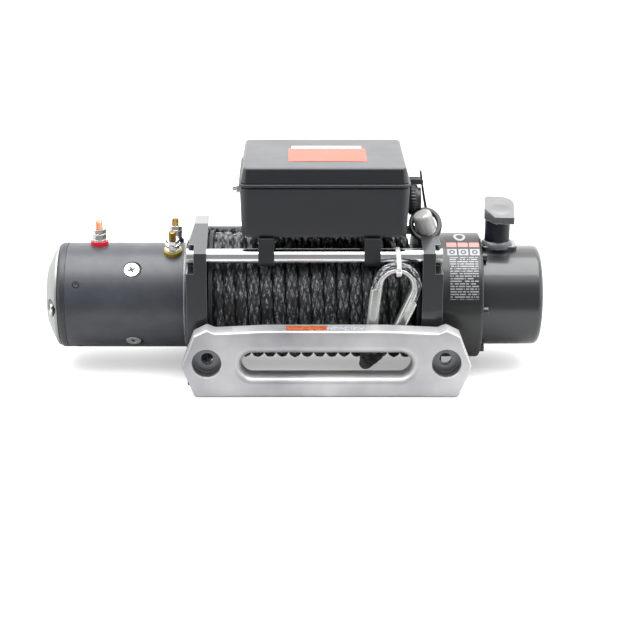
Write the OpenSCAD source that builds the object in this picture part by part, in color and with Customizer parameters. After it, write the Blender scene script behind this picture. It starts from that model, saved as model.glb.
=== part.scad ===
// Electric recovery winch with synthetic rope and a hawse fairlead.
// X runs along the drum towards the gearbox, Y to the back, Z up.
// The origin is the centre of the four foot bolts, on the face that the feet stand on.

/* [Frame] */
// Height of the drum's axis over the feet
axis_h = 78; // [76:1:110]
// Distance between the two drum supports
drum_gap = 230; // [190:1:300]
// Thickness of each drum support
support_t = 22; // [20:1:32]
// Depth of the feet from front to back
support_d = 160; // [148:1:200]
// Height of the support's front face
shoulder_h = 148; // [140:1:190]
// Height of the support's flat crown
crown_h = 164; // [156:1:210]
// Depth of the support's flat crown
crown_d = 32; // [20:1:60]
// How much wider than the drum supports' distance the foot bolts are spaced
foot_spread = 24; // [20:0.5:28]
// Foot bolt spacing from front to back
foot_depth = 114.3; // [100:0.1:124]
// Diameter of the foot bolt holes
foot_bolt_d = 10.5; // [8:0.1:12]
// Diameter of the tie bars
tie_bar_d = 16; // [12:0.1:19.2]
// Distance between the two tie bars
tie_bar_span = 116; // [108:1:126]
// Height of the tie bars over the drum's axis
tie_bar_rise = 61; // [56:1:64]

/* [Motor] */
// Length of the motor can
can_len = 134; // [100:1:180]
// Outer diameter of the motor can
can_d = 116; // [96:0.1:124]
// Wall of the motor can
can_wall = 5; // [3:0.5:7]
// Width of the black end ring
end_ring_w = 8; // [5:0.5:14]
// How far the pale end cap stands out
cap_rise = 13; // [8:0.5:20]
// Diameter of the pole screw heads
pole_screw_d = 20; // [14:0.5:24]
// Diameter of the terminal studs
stud_d = 8; // [6:0.5:9]

/* [Gearbox] */
// Outer diameter of the large gear housing
gear_housing_d = 138; // [132:1:150]
// Length of the large gear housing
gear_housing_len = 46; // [44:1:60]
// Outer diameter of the end housing
end_housing_d = 110; // [106:1:124]
// Length of the end housing
end_housing_len = 66; // [64:1:90]
// Tooth module of the output stage
module_3 = 1.75; // [1.6:0.05:1.8]
// Tooth module of the first two stages
module_12 = 1.4; // [1.3:0.05:1.42]
// Backlash of each tooth
backlash = 0.3; // [0.2:0.05:0.4]

/* [Drum and rope] */
// Diameter of the drum's barrel
drum_d = 63.5; // [58:0.5:70]
// Diameter of the drum's flanges
flange_d = 143; // [130:1:146]
// Thickness of the drum's flanges
flange_t = 4; // [3:0.5:8]
// Diameter of the wound rope
rope_d = 13.3; // [9:0.1:13.4]
// Turns of rope in the outer layer
rope_turns = 15; // [10:1:16]
// Outer diameter of the wound rope
winding_d = 138.8; // [120:0.2:139]
// Diameter of the rope round the thimble
eye_rope_d = 9.2; // [7:0.1:10]

/* [Clutch] */
// Diameter of the clutch stem
stem_d = 26.6; // [20:0.2:28]
// Width of the clutch knob along the drum
knob_w = 33.5; // [28:0.5:38]
// Depth of the clutch knob
knob_d = 56; // [46:1:70]

/* [Control box] */
// Width of the control box at its rim
box_w = 179; // [150:1:184]
// Depth of the control box at its rim
box_d = 135; // [120:1:150]
// Height of the box's base
base_h = 56.5; // [44:0.5:70]
// Height of the box's lid
lid_h = 20.5; // [14:0.5:30]
// Wall of the box
box_wall = 3; // [2:0.5:4]
// Offset of the box towards the gearbox
box_x = 10.5; // [-4:0.5:12]

/* [Fairlead] */
// Spacing of the fairlead's bolt holes
fairlead_span = 254; // [240:0.5:262]
// Thickness of the fairlead
fairlead_t = 24; // [20:1:25]
// Height of the fairlead
fairlead_h = 75; // [66:1:90]
// Length of the fairlead's slot
slot_len = 180; // [140:1:190]
// Height of the fairlead's slot
slot_h = 21; // [16:1:26]
// Diameter of the fairlead's bolt holes
fairlead_hole_d = 13.5; // [10:0.5:16]
// Offset of the fairlead towards the gearbox
fairlead_x = 12.5; // [-15:0.5:15]

/* [Hidden] */
$fn = 96;

// Clearances: a running shaft, a seated piece, and a soft or loose piece
run_gap = 0.06;
seat_gap = 0.02;
loose_gap = 0.3;
// How far a cut runs past the face that it opens
over = 1;

// Frame
inner_x = drum_gap / 2;
outer_x = inner_x + support_t;
foot_span = drum_gap + foot_spread;
foot_nut_w = 17;
foot_nut_t = 8;
foot_nut_z = 18;
foot_thread_d = 9.5;
nut_pocket_gap = 0.3;
bush_depth = 13.5;
bush_wall = 5;
journal_r = 36;
bearing_or = 16;
bearing_w = support_t - bush_depth;
carrier_pass_r = 31;
tie_y = tie_bar_span / 2;
tie_z = axis_h + tie_bar_rise;
tie_thread_d = 10;
tie_seat = 9;
bolt_head_d = 17;
bolt_head_t = 8.5;
bolt_socket_d = 8;
bolt_socket_t = 5;
pocket_h = 27;
pocket_y = tie_y - bolt_head_d / 2 - over;
pocket_d = support_d / 2 + over - pocket_y;
crown_chamfer = 7;
edge_r = 3;

// Motor
can_x1 = -outer_x;
can_x0 = can_x1 - can_len;
can_r = can_d / 2;
can_ir = can_r - can_wall;
ring_x0 = can_x0 - end_ring_w;
cap_foot_inset = 2;
cap_foot_r = can_r - cap_foot_inset;
cap_face_r = 33;
cap_wall = 4;
cap_spigot = 5;
seam_w = 1;
seam_t = 1;
pole_in = 60;
pole_x = can_x1 - pole_in;
pole_count = 4;
pole_angle = 45;
pole_screw_len = 9;
pole_screw_shank = 8;
head_cone_t = 4;
cross_len = 9;
cross_w = 2.2;
cross_t = 2;
dimple_in = 13;
dimple_x = can_x0 + dimple_in;
dimple_angle = 62;
dimple_d = 4.5;
dimple_t = 1;
pole_depth = 9.5;
pole_ir = can_ir - pole_depth;
pole_arc = 52;
pole_half = 30;
coil_t = 6;
coil_arc = 6;
coil_inset = 1;
coil_gap_arc = 0.4;
air_gap = 1;
armature_r = pole_ir - air_gap;
armature_half = 32;
slot_count = 16;
slot_w = 3;
slot_t = 5;
commutator_r = 22;
brush_reach = 8;
brush_in = 12;
brush_x = can_x0 + brush_in;
brush_gap = 0.5;
brush_w = 9;
brush_ring_w = 4;
brush_ring_gap = 2;
brush_len = 14;
cap_screw_inset = 14;
cap_screw_r = can_r - cap_screw_inset;
cap_screw_d = 9;
cap_screw_len = 9;
cap_screw_angle = 29.5;
cap_notch_d = 15;
shaft_r = 5;
shaft_end_gap = 1;
cap_bearing_w = 9;
cap_bearing_or = 14;

// Terminals: place along the can, angle to the front of the top line, height
term_a_in = 35;
term_b_in = 17;
term_a_x = can_x0 + term_a_in;
term_b_x = can_x1 - term_b_in;
term_a_tilt = 0;
term_b_tilt = 20;
term_c_tilt = -20;
term_base_d = 19.5;
term_base_h = 5.5;
term_stud_h = 26;
term_nut_d = 15;
term_nut_h = 5;
washer_d = 16.5;
washer_h = 1.6;
term_sink = 3.5;
term_neck_d = 13;
term_flat = 1.2;

// Gearbox
gh_x0 = outer_x;
gh_x1 = gh_x0 + gear_housing_len;
gh_r = gear_housing_d / 2;
gh_wall = 3.9;
gh_end_t = 7;
eh_x0 = gh_x1;
eh_x1 = eh_x0 + end_housing_len;
eh_r = end_housing_d / 2;
eh_wall = 2.8;
eh_end_t = 5;
eh_fillet = 7;
housing_fillet = 3;
sun_teeth = 12;
planet_teeth = 27;
ring_teeth = 66;
pressure_angle = 20;
addendum_share = 0.8;
dedendum_share = 1.15;
planet_count = 3;
planet_t = 15;
carrier_t = 6;
carrier_gap = 1;
pin_r_3 = 5;
pin_r_12 = 4;
shaft_pass = 0.6;
stage_3_in = 10;
stage_2_in = 8;
stage_pitch = 27;
stage_3_x = gh_x0 + stage_3_in;
stage_2_x = eh_x0 + stage_2_in;
stage_1_x = stage_2_x + stage_pitch;
ring_gear_side = 2;
ring_gear_w = planet_t + 2 * ring_gear_side;
screw_count = 6;
housing_screw_d = 5;
housing_screw_head = 9;
housing_screw_head_t = 5;
housing_screw_inset = 9;
housing_screw_r = gh_r - housing_screw_inset;
housing_screw_len = 12;
end_bearing_w = 8;
end_bearing_or = 13;
end_boss_r = 17;

// Clutch
clutch_in = 19;
clutch_x = eh_x0 + clutch_in;
clutch_pin_r = 5.5;
clutch_pin_dip = 3;
base_block = 34;
base_block_r = 5;
base_rise = 8.5;
base_top = axis_h + eh_r + base_rise;
base_skirt = 21.5;
collar_h = 3;
collar_w = 2.5;
collar_r = stem_d / 2 + collar_w;
stem_foot_rise = 1.5;
stem_foot = axis_h + eh_r + stem_foot_rise;
stem_show = 24.5;
stem_top = base_top + stem_show;
knob_front_h = 8;
knob_slope = 10;
knob_corner_r = 13;
knob_cut_w = 12;
knob_cut_d = 20;
knob_bolt_d = 8;

// Control box
box_rise = 22;
box_z0 = tie_z + box_rise;
rim_z = box_z0 + base_h;
box_x0 = box_x - box_w / 2;
box_x1 = box_x + box_w / 2;
box_corner_r = 9;
base_draft = 1;
lid_draft = 3;
lid_lip_h = 3;
lid_lip_w = 1.4;
lid_round = 2.2;
bracket_w = 17;
bracket_t = 3;
left_bracket_x = -51.5;
right_bracket_x = 62;
clamp_wall = 3;
box_screw_d = 5;
box_screw_head = 9;
box_screw_head_t = 3;
box_screw_reach = 5;
box_screw_y = tie_y - tie_bar_d - box_screw_head;
side_bolt_drop = 14;
side_bolt_z = rim_z - side_bolt_drop;
side_bolt_len = 9;
side_nut_w = 10;
side_nut_t = 4;
side_bolt_y = -12;
contactor_r = 24;
contactor_h = 40;
contactor_gap = 54;
post_r = 4;
post_h = 7;

// Socket for the hand control
socket_y = -12;
socket_drop = 27;
socket_z = rim_z - socket_drop;
socket_r = 15.5;
socket_len = 13;
socket_bore_r = 11;
socket_floor = 3;
socket_flange_t = 3;
socket_flange_r = 18;
pin_r = 1.5;
pin_ring_r = 6;
pin_len = 7;
pin_count = 4;
strap_t = 2;
strap_w = 12;
hinge_rise = 20.5;
hinge_z = socket_z + hinge_rise;
strap_lean = 8;
strap_up = 11;
strap_down = 43.5;
hinge_ear_r = 3;
hinge_pin_r = 1.5;
ear_reach = socket_len + hinge_ear_r;
strap_x = box_x1 - base_draft + ear_reach;
loop_w = 30;
loop_d = 46;
loop_band = 4.5;
loop_corner_r = 14;
loop_t = 4;
loop_in = 12;
loop_x = strap_x + loop_in;
loop_y = socket_y - loop_d / 2 + loop_band / 2;
loop_rest = 1;
dome_r = 9.5;
dome_h = 6;
web_corner_r = 1;
loop_drop = (-loop_y - crown_d / 2) * (crown_h - shoulder_h) / (support_d / 2 - crown_d / 2);
loop_z = crown_h - loop_drop + loop_rest;

// Drum and rope
drum_r = drum_d / 2;
drum_ir = 24;
flange_r = flange_d / 2;
flange_gap = 1;
flange_x = inner_x - flange_gap;
journal_x = inner_x + bush_depth - flange_gap;
winding_r = winding_d / 2;
rope_r = rope_d / 2;
rope_path_r = winding_r - rope_r;
winding_x0 = -flange_x + flange_t + rope_r + loose_gap;
winding_x1 = flange_x - flange_t - rope_r - loose_gap;
rope_pitch = (winding_x1 - winding_x0) / rope_turns;
core_gap = 0.25;
core_r = rope_path_r - rope_r - core_gap;
rings_per_turn = 24;
rope_sides = 6;
winding_start = 250;
anchor_r = 3;
anchor_len = 9;
spline_count = 6;
spline_w = 6;
spline_t = 3;
spline_len = 16;
hub_gap = 0.05;
brake_r = drum_ir - loose_gap;
brake_len = 40;
brake_x = -70;

// Thimble, eye, splice and tail, which hang from the front tie bar
eye_y = -79.5;
eye_x = 87.8;
eye_z = 112.3;
eye_inner_r = 14.5;
thimble_t = 2;
thimble_wall = 1.8;
left_lean = 6;
right_lean = 23.8;
thimble_leg = 44;
arch_wall_h = 5;
leg_wall_h = 11;
arch_mid = (180 - left_lean - right_lean) / 2;
arch_half = (180 - left_lean + right_lean) / 2;
arch_facets = 24;
arch_angles = [for (i = [0 : arch_facets]) -right_lean + 2 * arch_half * i / arch_facets];
groove_r = eye_inner_r + thimble_t;
eye_path_r = groove_r + loose_gap + eye_rope_d / 2;
groove_w = eye_rope_d + 2 * loose_gap;
eye_leg_run = 44;
splice_sides = 12;
tail_sides = 10;
tie_strap_w = 4.8;
tie_strap_t = 1.4;
tie_x = 89;
tie_foot_r = norm([groove_w / 2 + thimble_wall, eye_path_r - eye_inner_r]);

// Ends of the eye's two legs below the thimble, in the plane of the eye: X and Z
left_leg_route = [[60.5, 56], [60, 50], [59.5, 43]];
right_leg_route = [[88, 59], [81, 51.5], [74, 46.5], [69, 41]];

// Route of the splice from the eye down, and its half width and half depth there
splice_route = [[66.5, -79.5, 50], [65, -78.5, 43], [62.5, -75, 34.5], [60.5, -68, 26.5], [59, -59, 20.5]];
splice_half_w = [14, 13.4, 12, 9.6, 6.9];
splice_half_d = [6, 6.6, 7, 7, 6.8];

// Route of the free tail, from the splice to the underside of the drum
tail_route = [[59, -59, 20.5], [58.5, -50, 16], [58, -42, 12.4], [57, -34.5, 9.2]];

// Fairlead
fairlead_gap = 14.3;
fairlead_back = -support_d / 2 - fairlead_gap;
fairlead_front = fairlead_back - fairlead_t;
slot_z = 39;
hole_z = 38;
cup_r = 15.5;
cup_t = 16;
slot_flare = 8;
flare_t = 10;
side_bulge = 27;
bulge_height_share = 0.45;
foot_bulge = 13;
shoulder_bulge = 14;
ear_dip = 3.5;
ear_rise_w = 9;
top_dip = 0.9;

// Places that the pieces share

module along_x(x = 0) {
    translate([x, 0, axis_h]) rotate([0, 90, 0]) children();
}

module rod(x0, x1, r) {
    along_x(x0) cylinder(h = x1 - x0, r = r);
}

module tube(x0, x1, ro, ri) {
    difference() {
        rod(x0, x1, ro);
        rod(x0 - over, x1 + over, ri);
    }
}

module ring_of(count, r, start = 0) {
    for (i = [0 : count - 1])
        rotate([0, 0, start + i * 360 / count]) translate([r, 0, 0]) children();
}

module rounded_plate(w, d, h, r) {
    linear_extrude(height = h) union() {
        square([w - 2 * r, d], center = true);
        square([w, d - 2 * r], center = true);
        bolt_spots(w / 2 - r, d / 2 - r) circle(r = r);
    }
}

module bolt_spots(dx, dy) {
    for (sx = [-1, 1], sy = [-1, 1]) translate([sx * dx, sy * dy, 0]) children();
}

// Tooth outline of a gear: three radii up each flank, on an involute
function base_r(z, m) = m * z / 2 * cos(pressure_angle);
function involute(r, rb) =
    let (a = acos(min(1, rb / r))) tan(a) * 180 / PI - a;
function half_tooth(r, z, m, play) =
    90 / z - play / (m * z) * 180 / PI
    + involute(m * z / 2, base_r(z, m)) - involute(max(r, base_r(z, m)), base_r(z, m));
function gear_points(z, m, play, tip, root) =
    let (radii = [m * z / 2 - root, m * z / 2, m * z / 2 + tip])
    [for (i = [0 : z - 1], s = [0 : 5])
        let (k = s < 3 ? s : 5 - s,
             side = s < 3 ? -1 : 1,
             a = i * 360 / z + side * half_tooth(radii[k], z, m, play))
        radii[k] * [cos(a), sin(a)]];

module gear(z, m, h, bore) {
    linear_extrude(height = h) difference() {
        polygon(gear_points(z, m, backlash, addendum_share * m, dedendum_share * m));
        circle(r = bore);
    }
}

function stage_r(m) = m * (sun_teeth + planet_teeth) / 2;
function ring_root_r(m) = m * (ring_teeth / 2 + dedendum_share);

// Frame

function support_profile() = [
    [-support_d / 2, 0], [support_d / 2, 0], [support_d / 2, shoulder_h],
    [crown_d / 2, crown_h], [-crown_d / 2, crown_h], [-support_d / 2, shoulder_h]
];

// One drum support, drawn for the side where X is above zero
module support(web_bore) {
    difference() {
        translate([inner_x, 0, 0]) rotate([90, 0, 90])
            linear_extrude(height = support_t) polygon(support_profile());
        // outer edge leans in over the shoulder
        translate([outer_x, 0, shoulder_h])
            rotate([0, -atan(crown_chamfer / (crown_h - shoulder_h)), 0]) translate([0, -support_d, -over])
                cube([support_t, 2 * support_d, 2 * (crown_h - shoulder_h)]);
        rod(inner_x - over, inner_x + bush_depth, journal_r + bush_wall + seat_gap);
        rod(inner_x, outer_x + over, web_bore);
        for (s = [-1, 1]) {
            translate([foot_span / 2, s * foot_depth / 2, -over])
                cylinder(h = foot_nut_z + foot_nut_t + 2 * over, d = foot_bolt_d);
            translate([foot_span / 2 - foot_nut_w / 2 - nut_pocket_gap,
                       s * foot_depth / 2 - foot_nut_w / 2 - nut_pocket_gap, foot_nut_z])
                cube([foot_nut_w + outer_x, foot_nut_w + 2 * nut_pocket_gap,
                      foot_nut_t + nut_pocket_gap]);
            // tie bar seat, its screw hole and the pocket of the screw's head
            translate([inner_x - over, s * tie_y, tie_z]) rotate([0, 90, 0])
                cylinder(h = over + tie_seat, d = tie_bar_d + 2 * seat_gap);
            translate([inner_x, s * tie_y, tie_z]) rotate([0, 90, 0])
                cylinder(h = support_t + over, d = tie_thread_d + 2 * seat_gap);
            translate([outer_x - bolt_head_t, s > 0 ? pocket_y : -pocket_y - pocket_d, tie_z - pocket_h / 2])
                cube([bolt_head_t + over, pocket_d, pocket_h]);
        }
    }
}

module gearbox_support() {
    color([0.16, 0.17, 0.18]) support(carrier_pass_r + run_gap);
}

module motor_support() {
    color([0.16, 0.17, 0.18]) mirror([1, 0, 0]) support(bearing_or + seat_gap);
}

module foot_nuts() {
    color([0.7, 0.7, 0.68]) bolt_spots(foot_span / 2, foot_depth / 2)
        translate([0, 0, foot_nut_z]) difference() {
            translate([-foot_nut_w / 2, -foot_nut_w / 2, 0]) cube([foot_nut_w, foot_nut_w, foot_nut_t]);
            translate([0, 0, -over]) cylinder(h = foot_nut_t + 2 * over, d = foot_thread_d);
        }
}

module tie_bar(side) {
    translate([-inner_x - tie_seat, side * tie_y, tie_z]) rotate([0, 90, 0]) difference() {
        cylinder(h = drum_gap + 2 * tie_seat, d = tie_bar_d);
        for (z = [-over, drum_gap + 2 * tie_seat - tie_seat])
            translate([0, 0, z]) cylinder(h = tie_seat + over, d = tie_thread_d + 2 * seat_gap);
    }
}

module front_tie_bar() {
    color([0.85, 0.86, 0.88]) tie_bar(-1);
}

module rear_tie_bar() {
    color([0.85, 0.86, 0.88]) tie_bar(1);
}

module tie_bar_bolts() {
    color([0.8, 0.8, 0.8]) for (side = [-1, 1], end = [0, 1]) mirror([end, 0, 0])
        translate([0, side * tie_y, tie_z]) rotate([0, 90, 0]) difference() {
            union() {
                translate([0, 0, inner_x]) cylinder(h = support_t - bolt_head_t, d = tie_thread_d);
                translate([0, 0, outer_x - bolt_head_t]) cylinder(h = bolt_head_t, d = bolt_head_d);
            }
            translate([0, 0, outer_x - bolt_socket_t])
                cylinder(h = bolt_socket_t + over, d = bolt_socket_d, $fn = 6);
        }
}

module drum_bushes() {
    color([0.72, 0.55, 0.25]) for (end = [0, 1]) mirror([end, 0, 0])
        tube(inner_x, inner_x + bush_depth, journal_r + bush_wall, journal_r + run_gap);
}

// Motor

module pole_spots(r) {
    along_x(pole_x) ring_of(pole_count, r, pole_angle) rotate([0, 90, 0]) children();
}

module term_spot(x, tilt) {
    translate([x, 0, axis_h]) rotate([tilt, 0, 0]) children();
}

module each_terminal() {
    term_spot(term_a_x, term_a_tilt) children();
    term_spot(term_b_x, term_b_tilt) children();
    term_spot(term_b_x, term_c_tilt) children();
}

module motor_can() {
    color([0.2, 0.21, 0.22]) difference() {
        rod(can_x0, can_x1, can_r);
        rod(can_x0 - over, can_x1 + over, can_ir);
        tube(can_x0 - over, can_x0 + seam_w, can_r + over, can_r - seam_t);
        pole_spots(0) cylinder(h = can_r + over, d = pole_screw_shank + 2 * seat_gap);
        pole_spots(can_r - head_cone_t)
            cylinder(h = head_cone_t + over, d = pole_screw_d + 2 * seat_gap);
        along_x(dimple_x) ring_of(pole_count, can_r - dimple_t, dimple_angle) rotate([0, 90, 0])
            cylinder(h = dimple_t + over, d = dimple_d);
        each_terminal() {
            cylinder(h = can_r + over, d = term_neck_d + 2 * seat_gap);
            translate([0, 0, can_r - term_flat])
                cylinder(h = term_flat + over, d = term_base_d + 2 * seat_gap);
        }
    }
}

module motor_end_ring() {
    color([0.13, 0.14, 0.15]) along_x(ring_x0) rotate_extrude() polygon([
        [can_ir, 0], [can_r - edge_r, 0], [can_r - edge_r * (1 - sin(45)), edge_r * (1 - cos(45))],
        [can_r, edge_r], [can_r, end_ring_w], [can_ir, end_ring_w]
    ]);
}

module cap_screw_spots() {
    along_x(ring_x0) for (a = [0, 180])
        rotate([0, 0, cap_screw_angle + a]) translate([cap_screw_r, 0, 0]) children();
}

module motor_end_cap() {
    color([0.78, 0.79, 0.8]) difference() {
        along_x(ring_x0 - cap_rise) rotate_extrude() polygon([
            [cap_bearing_or + seat_gap, 0], [cap_face_r - edge_r, 0],
            [cap_face_r - edge_r / 3, edge_r / 3], [cap_face_r, edge_r],
            [cap_foot_r, cap_rise - seam_w], [cap_foot_r, cap_rise],
            [can_ir - seat_gap, cap_rise], [can_ir - seat_gap, cap_rise + cap_spigot],
            [can_ir - cap_wall, cap_rise + cap_spigot], [can_ir - cap_wall, cap_rise],
            [cap_face_r - edge_r, cap_wall], [cap_bearing_or + cap_wall, cap_wall],
            [cap_bearing_or + cap_wall, cap_bearing_w], [cap_bearing_or + seat_gap, cap_bearing_w]
        ]);
        cap_screw_spots() {
            translate([0, 0, -cap_rise - over]) cylinder(h = cap_rise + over - cap_wall, d = cap_notch_d);
            translate([0, 0, -cap_rise - over])
                cylinder(h = 2 * cap_rise, d = cap_screw_d / 2 + 2 * seat_gap);
        }
    }
}

// A countersunk screw with a cross recess, its head's face at the origin
module cross_screw(head_d, head_t, shank_d, len) {
    difference() {
        union() {
            translate([0, 0, -head_t]) cylinder(h = head_t, d = head_d);
            translate([0, 0, -len]) cylinder(h = len, d = shank_d);
        }
        for (a = [0, 90]) rotate([0, 0, a])
            translate([-cross_len / 2, -cross_w / 2, -cross_t]) cube([cross_len, cross_w, cross_t + over]);
    }
}

module motor_screws() {
    color([0.86, 0.86, 0.85]) {
        pole_spots(can_r) cross_screw(pole_screw_d, head_cone_t, pole_screw_shank, pole_screw_len);
        cap_screw_spots() translate([0, 0, -cap_wall]) mirror([0, 0, 1]) union() {
            cylinder(h = cap_screw_d / 2, d = cap_screw_d);
            translate([0, 0, -cap_screw_len]) cylinder(h = cap_screw_len, d = cap_screw_d / 2);
        }
    }
}

function pole_mid(i) = pole_angle + i * 360 / pole_count;

// Block inside the can, of a half length, about an angle
module arc_block(ri, ro, half, mid, arc) {
    along_x(pole_x - half) rotate([0, 0, mid - arc / 2]) rotate_extrude(angle = arc)
        translate([ri, 0]) square([ro - ri, 2 * half]);
}

module pole_shoes() {
    color([0.45, 0.46, 0.48]) difference() {
        for (i = [0 : pole_count - 1])
            arc_block(pole_ir, can_ir - seat_gap, pole_half, pole_mid(i), pole_arc);
        pole_spots(0) cylinder(h = can_r, d = pole_screw_shank + 2 * seat_gap);
    }
}

module field_coils() {
    color([0.6, 0.3, 0.15]) for (i = [0 : pole_count - 1]) difference() {
        arc_block(pole_ir + coil_inset, can_ir - coil_inset, pole_half + coil_t, pole_mid(i),
                  pole_arc + 2 * coil_arc);
        arc_block(pole_ir - over, can_ir + over, pole_half + loose_gap, pole_mid(i),
                  pole_arc + 2 * coil_gap_arc);
    }
}

module brush_gear() {
    color([0.35, 0.3, 0.25]) union() {
        tube(brush_x - brush_ring_w, brush_x, can_ir - seat_gap, commutator_r + brush_ring_gap);
        along_x(brush_x - over) ring_of(pole_count, commutator_r + loose_gap)
            translate([0, -brush_w / 2, 0]) cube([brush_len, brush_w, brush_reach]);
    }
}

module shaft_bearings() {
    color([0.75, 0.76, 0.78]) {
        tube(ring_x0 - cap_rise, ring_x0 - cap_rise + cap_bearing_w, cap_bearing_or, shaft_r + run_gap);
        tube(-outer_x, -outer_x + bearing_w, bearing_or, shaft_r + run_gap);
        tube(eh_x1 - eh_end_t - end_bearing_w, eh_x1 - eh_end_t, end_bearing_or, shaft_r + run_gap);
    }
}

module terminal_base() {
    difference() {
        union() {
            translate([0, 0, can_r - term_flat]) cylinder(h = term_base_h, d = term_base_d);
            translate([0, 0, can_r - term_flat - term_sink]) cylinder(h = term_sink, d = term_neck_d);
        }
        cylinder(h = 2 * can_r, d = stud_d + 2 * seat_gap);
    }
}

module red_terminal_base() {
    color([0.75, 0.1, 0.13]) term_spot(term_a_x, term_a_tilt) terminal_base();
}

module yellow_terminal_base() {
    color([0.75, 0.62, 0.15]) term_spot(term_b_x, term_b_tilt) terminal_base();
}

module black_terminal_base() {
    color([0.1, 0.1, 0.1]) term_spot(term_b_x, term_c_tilt) terminal_base();
}

module terminal_studs() {
    color([0.8, 0.6, 0.3]) each_terminal()
        translate([0, 0, can_r - term_flat - term_sink])
            cylinder(h = term_stud_h + term_flat + term_sink, d = stud_d);
}

module terminal_nuts() {
    color([0.8, 0.8, 0.78]) each_terminal() for (i = [0, 1])
        translate([0, 0, can_r - term_flat + term_base_h + i * (term_nut_h + washer_h)]) difference() {
            union() {
                cylinder(h = washer_h, d = washer_d);
                translate([0, 0, washer_h]) cylinder(h = term_nut_h, d = term_nut_d, $fn = 6);
            }
            translate([0, 0, -over])
                cylinder(h = term_nut_h + washer_h + 2 * over, d = stud_d + 2 * seat_gap);
        }
}

// Gearbox

module gear_housing() {
    color([0.17, 0.18, 0.19]) difference() {
        along_x(gh_x0) rotate_extrude() polygon([
            [gh_r - gh_wall, 0], [gh_r, 0], [gh_r, gear_housing_len - housing_fillet],
            [gh_r - housing_fillet * (1 - cos(45)), gear_housing_len - housing_fillet * (1 - sin(45))],
            [gh_r - housing_fillet, gear_housing_len],
            [eh_r - 2 * eh_wall, gear_housing_len],
            [eh_r - 2 * eh_wall, gear_housing_len - gh_end_t],
            [gh_r - gh_wall, gear_housing_len - gh_end_t]
        ]);
        along_x(gh_x1) ring_of(screw_count, housing_screw_r, 180 / screw_count) {
            translate([0, 0, -gh_end_t - over])
                cylinder(h = gh_end_t + 2 * over, d = housing_screw_d + 2 * seat_gap);
        }
    }
}

module end_housing() {
    color([0.2, 0.21, 0.22]) difference() {
        along_x(eh_x0) rotate_extrude() {
            difference() {
                union() {
                    square([eh_r, end_housing_len - eh_fillet]);
                    square([eh_r - eh_fillet, end_housing_len]);
                    translate([eh_r - eh_fillet, end_housing_len - eh_fillet]) intersection() {
                        circle(r = eh_fillet);
                        square([eh_fillet, eh_fillet]);
                    }
                }
                square([eh_r - eh_wall, end_housing_len - eh_end_t - eh_fillet / 2]);
                square([end_boss_r, end_housing_len - eh_end_t]);
                square([eh_r - eh_wall - eh_fillet / 2, end_housing_len - eh_end_t]);
            }
            difference() {
                translate([end_bearing_or + seat_gap, end_housing_len - eh_end_t - end_bearing_w])
                    square([end_boss_r - end_bearing_or - seat_gap, end_bearing_w]);
            }
        }
        translate([clutch_x, 0, axis_h]) cylinder(h = 2 * eh_r, r = clutch_pin_r + 2 * loose_gap);
    }
}

module ring_gear(x, m, ro) {
    along_x(x - ring_gear_side) linear_extrude(height = ring_gear_w) difference() {
        circle(r = ro);
        polygon(gear_points(ring_teeth, m, -backlash, dedendum_share * m, addendum_share * m));
    }
}

module ring_gear_1() {
    color([0.55, 0.56, 0.58]) ring_gear(stage_1_x, module_12, eh_r - eh_wall - seat_gap);
}

module ring_gear_2() {
    color([0.55, 0.56, 0.58]) difference() {
        ring_gear(stage_2_x, module_12, eh_r - eh_wall - seat_gap);
        translate([clutch_x, 0, axis_h + eh_r - eh_wall - clutch_pin_dip])
            cylinder(h = eh_wall + clutch_pin_dip, r = clutch_pin_r + run_gap);
    }
}

module ring_gear_3() {
    color([0.55, 0.56, 0.58]) ring_gear(stage_3_x, module_3, gh_r - gh_wall - seat_gap);
}

module housing_screws() {
    color([0.2, 0.2, 0.22]) along_x(gh_x1) ring_of(screw_count, housing_screw_r, 180 / screw_count)
        difference() {
            union() {
                translate([0, 0, -housing_screw_len]) cylinder(h = housing_screw_len, d = housing_screw_d);
                cylinder(h = housing_screw_head_t, d = housing_screw_head);
            }
            translate([0, 0, housing_screw_head_t / 2])
                cylinder(h = housing_screw_head_t, d = housing_screw_head / 2, $fn = 6);
        }
}

module planet(stage_x, m, pin_r, index) {
    color([0.62, 0.63, 0.65]) along_x(stage_x) rotate([0, 0, index * 360 / planet_count])
        translate([stage_r(m), 0, 0]) gear(planet_teeth, m, planet_t, pin_r + run_gap);
}

module planet_3a() { planet(stage_3_x, module_3, pin_r_3, 0); }
module planet_3b() { planet(stage_3_x, module_3, pin_r_3, 1); }
module planet_3c() { planet(stage_3_x, module_3, pin_r_3, 2); }
module planet_2a() { planet(stage_2_x, module_12, pin_r_12, 0); }
module planet_2b() { planet(stage_2_x, module_12, pin_r_12, 1); }
module planet_2c() { planet(stage_2_x, module_12, pin_r_12, 2); }
module planet_1a() { planet(stage_1_x, module_12, pin_r_12, 0); }
module planet_1b() { planet(stage_1_x, module_12, pin_r_12, 1); }
module planet_1c() { planet(stage_1_x, module_12, pin_r_12, 2); }

// A carrier plate on the drum side of its planets, with their pins
module carrier(stage_x, m, pin_r) {
    rod(stage_x - carrier_gap - carrier_t, stage_x - carrier_gap, stage_r(m) + pin_r + carrier_t / 2);
    along_x(stage_x - carrier_gap - carrier_t / 2) ring_of(planet_count, stage_r(m))
        cylinder(h = carrier_t / 2 + carrier_gap + planet_t + carrier_gap, r = pin_r);
}

module carrier_with_sun(stage_x, m, pin_r, sun_x, sun_m) {
    difference() {
        union() {
            carrier(stage_x, m, pin_r);
            along_x(sun_x) gear(sun_teeth, sun_m, planet_t, shaft_r + shaft_pass);
            rod(sun_x + planet_t, stage_x - carrier_gap, sun_m * (sun_teeth / 2 - dedendum_share));
        }
        rod(sun_x - over, stage_x + over, shaft_r + shaft_pass);
    }
}

module carrier_1() {
    color([0.5, 0.5, 0.53]) carrier_with_sun(stage_1_x, module_12, pin_r_12, stage_2_x, module_12);
}

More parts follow.
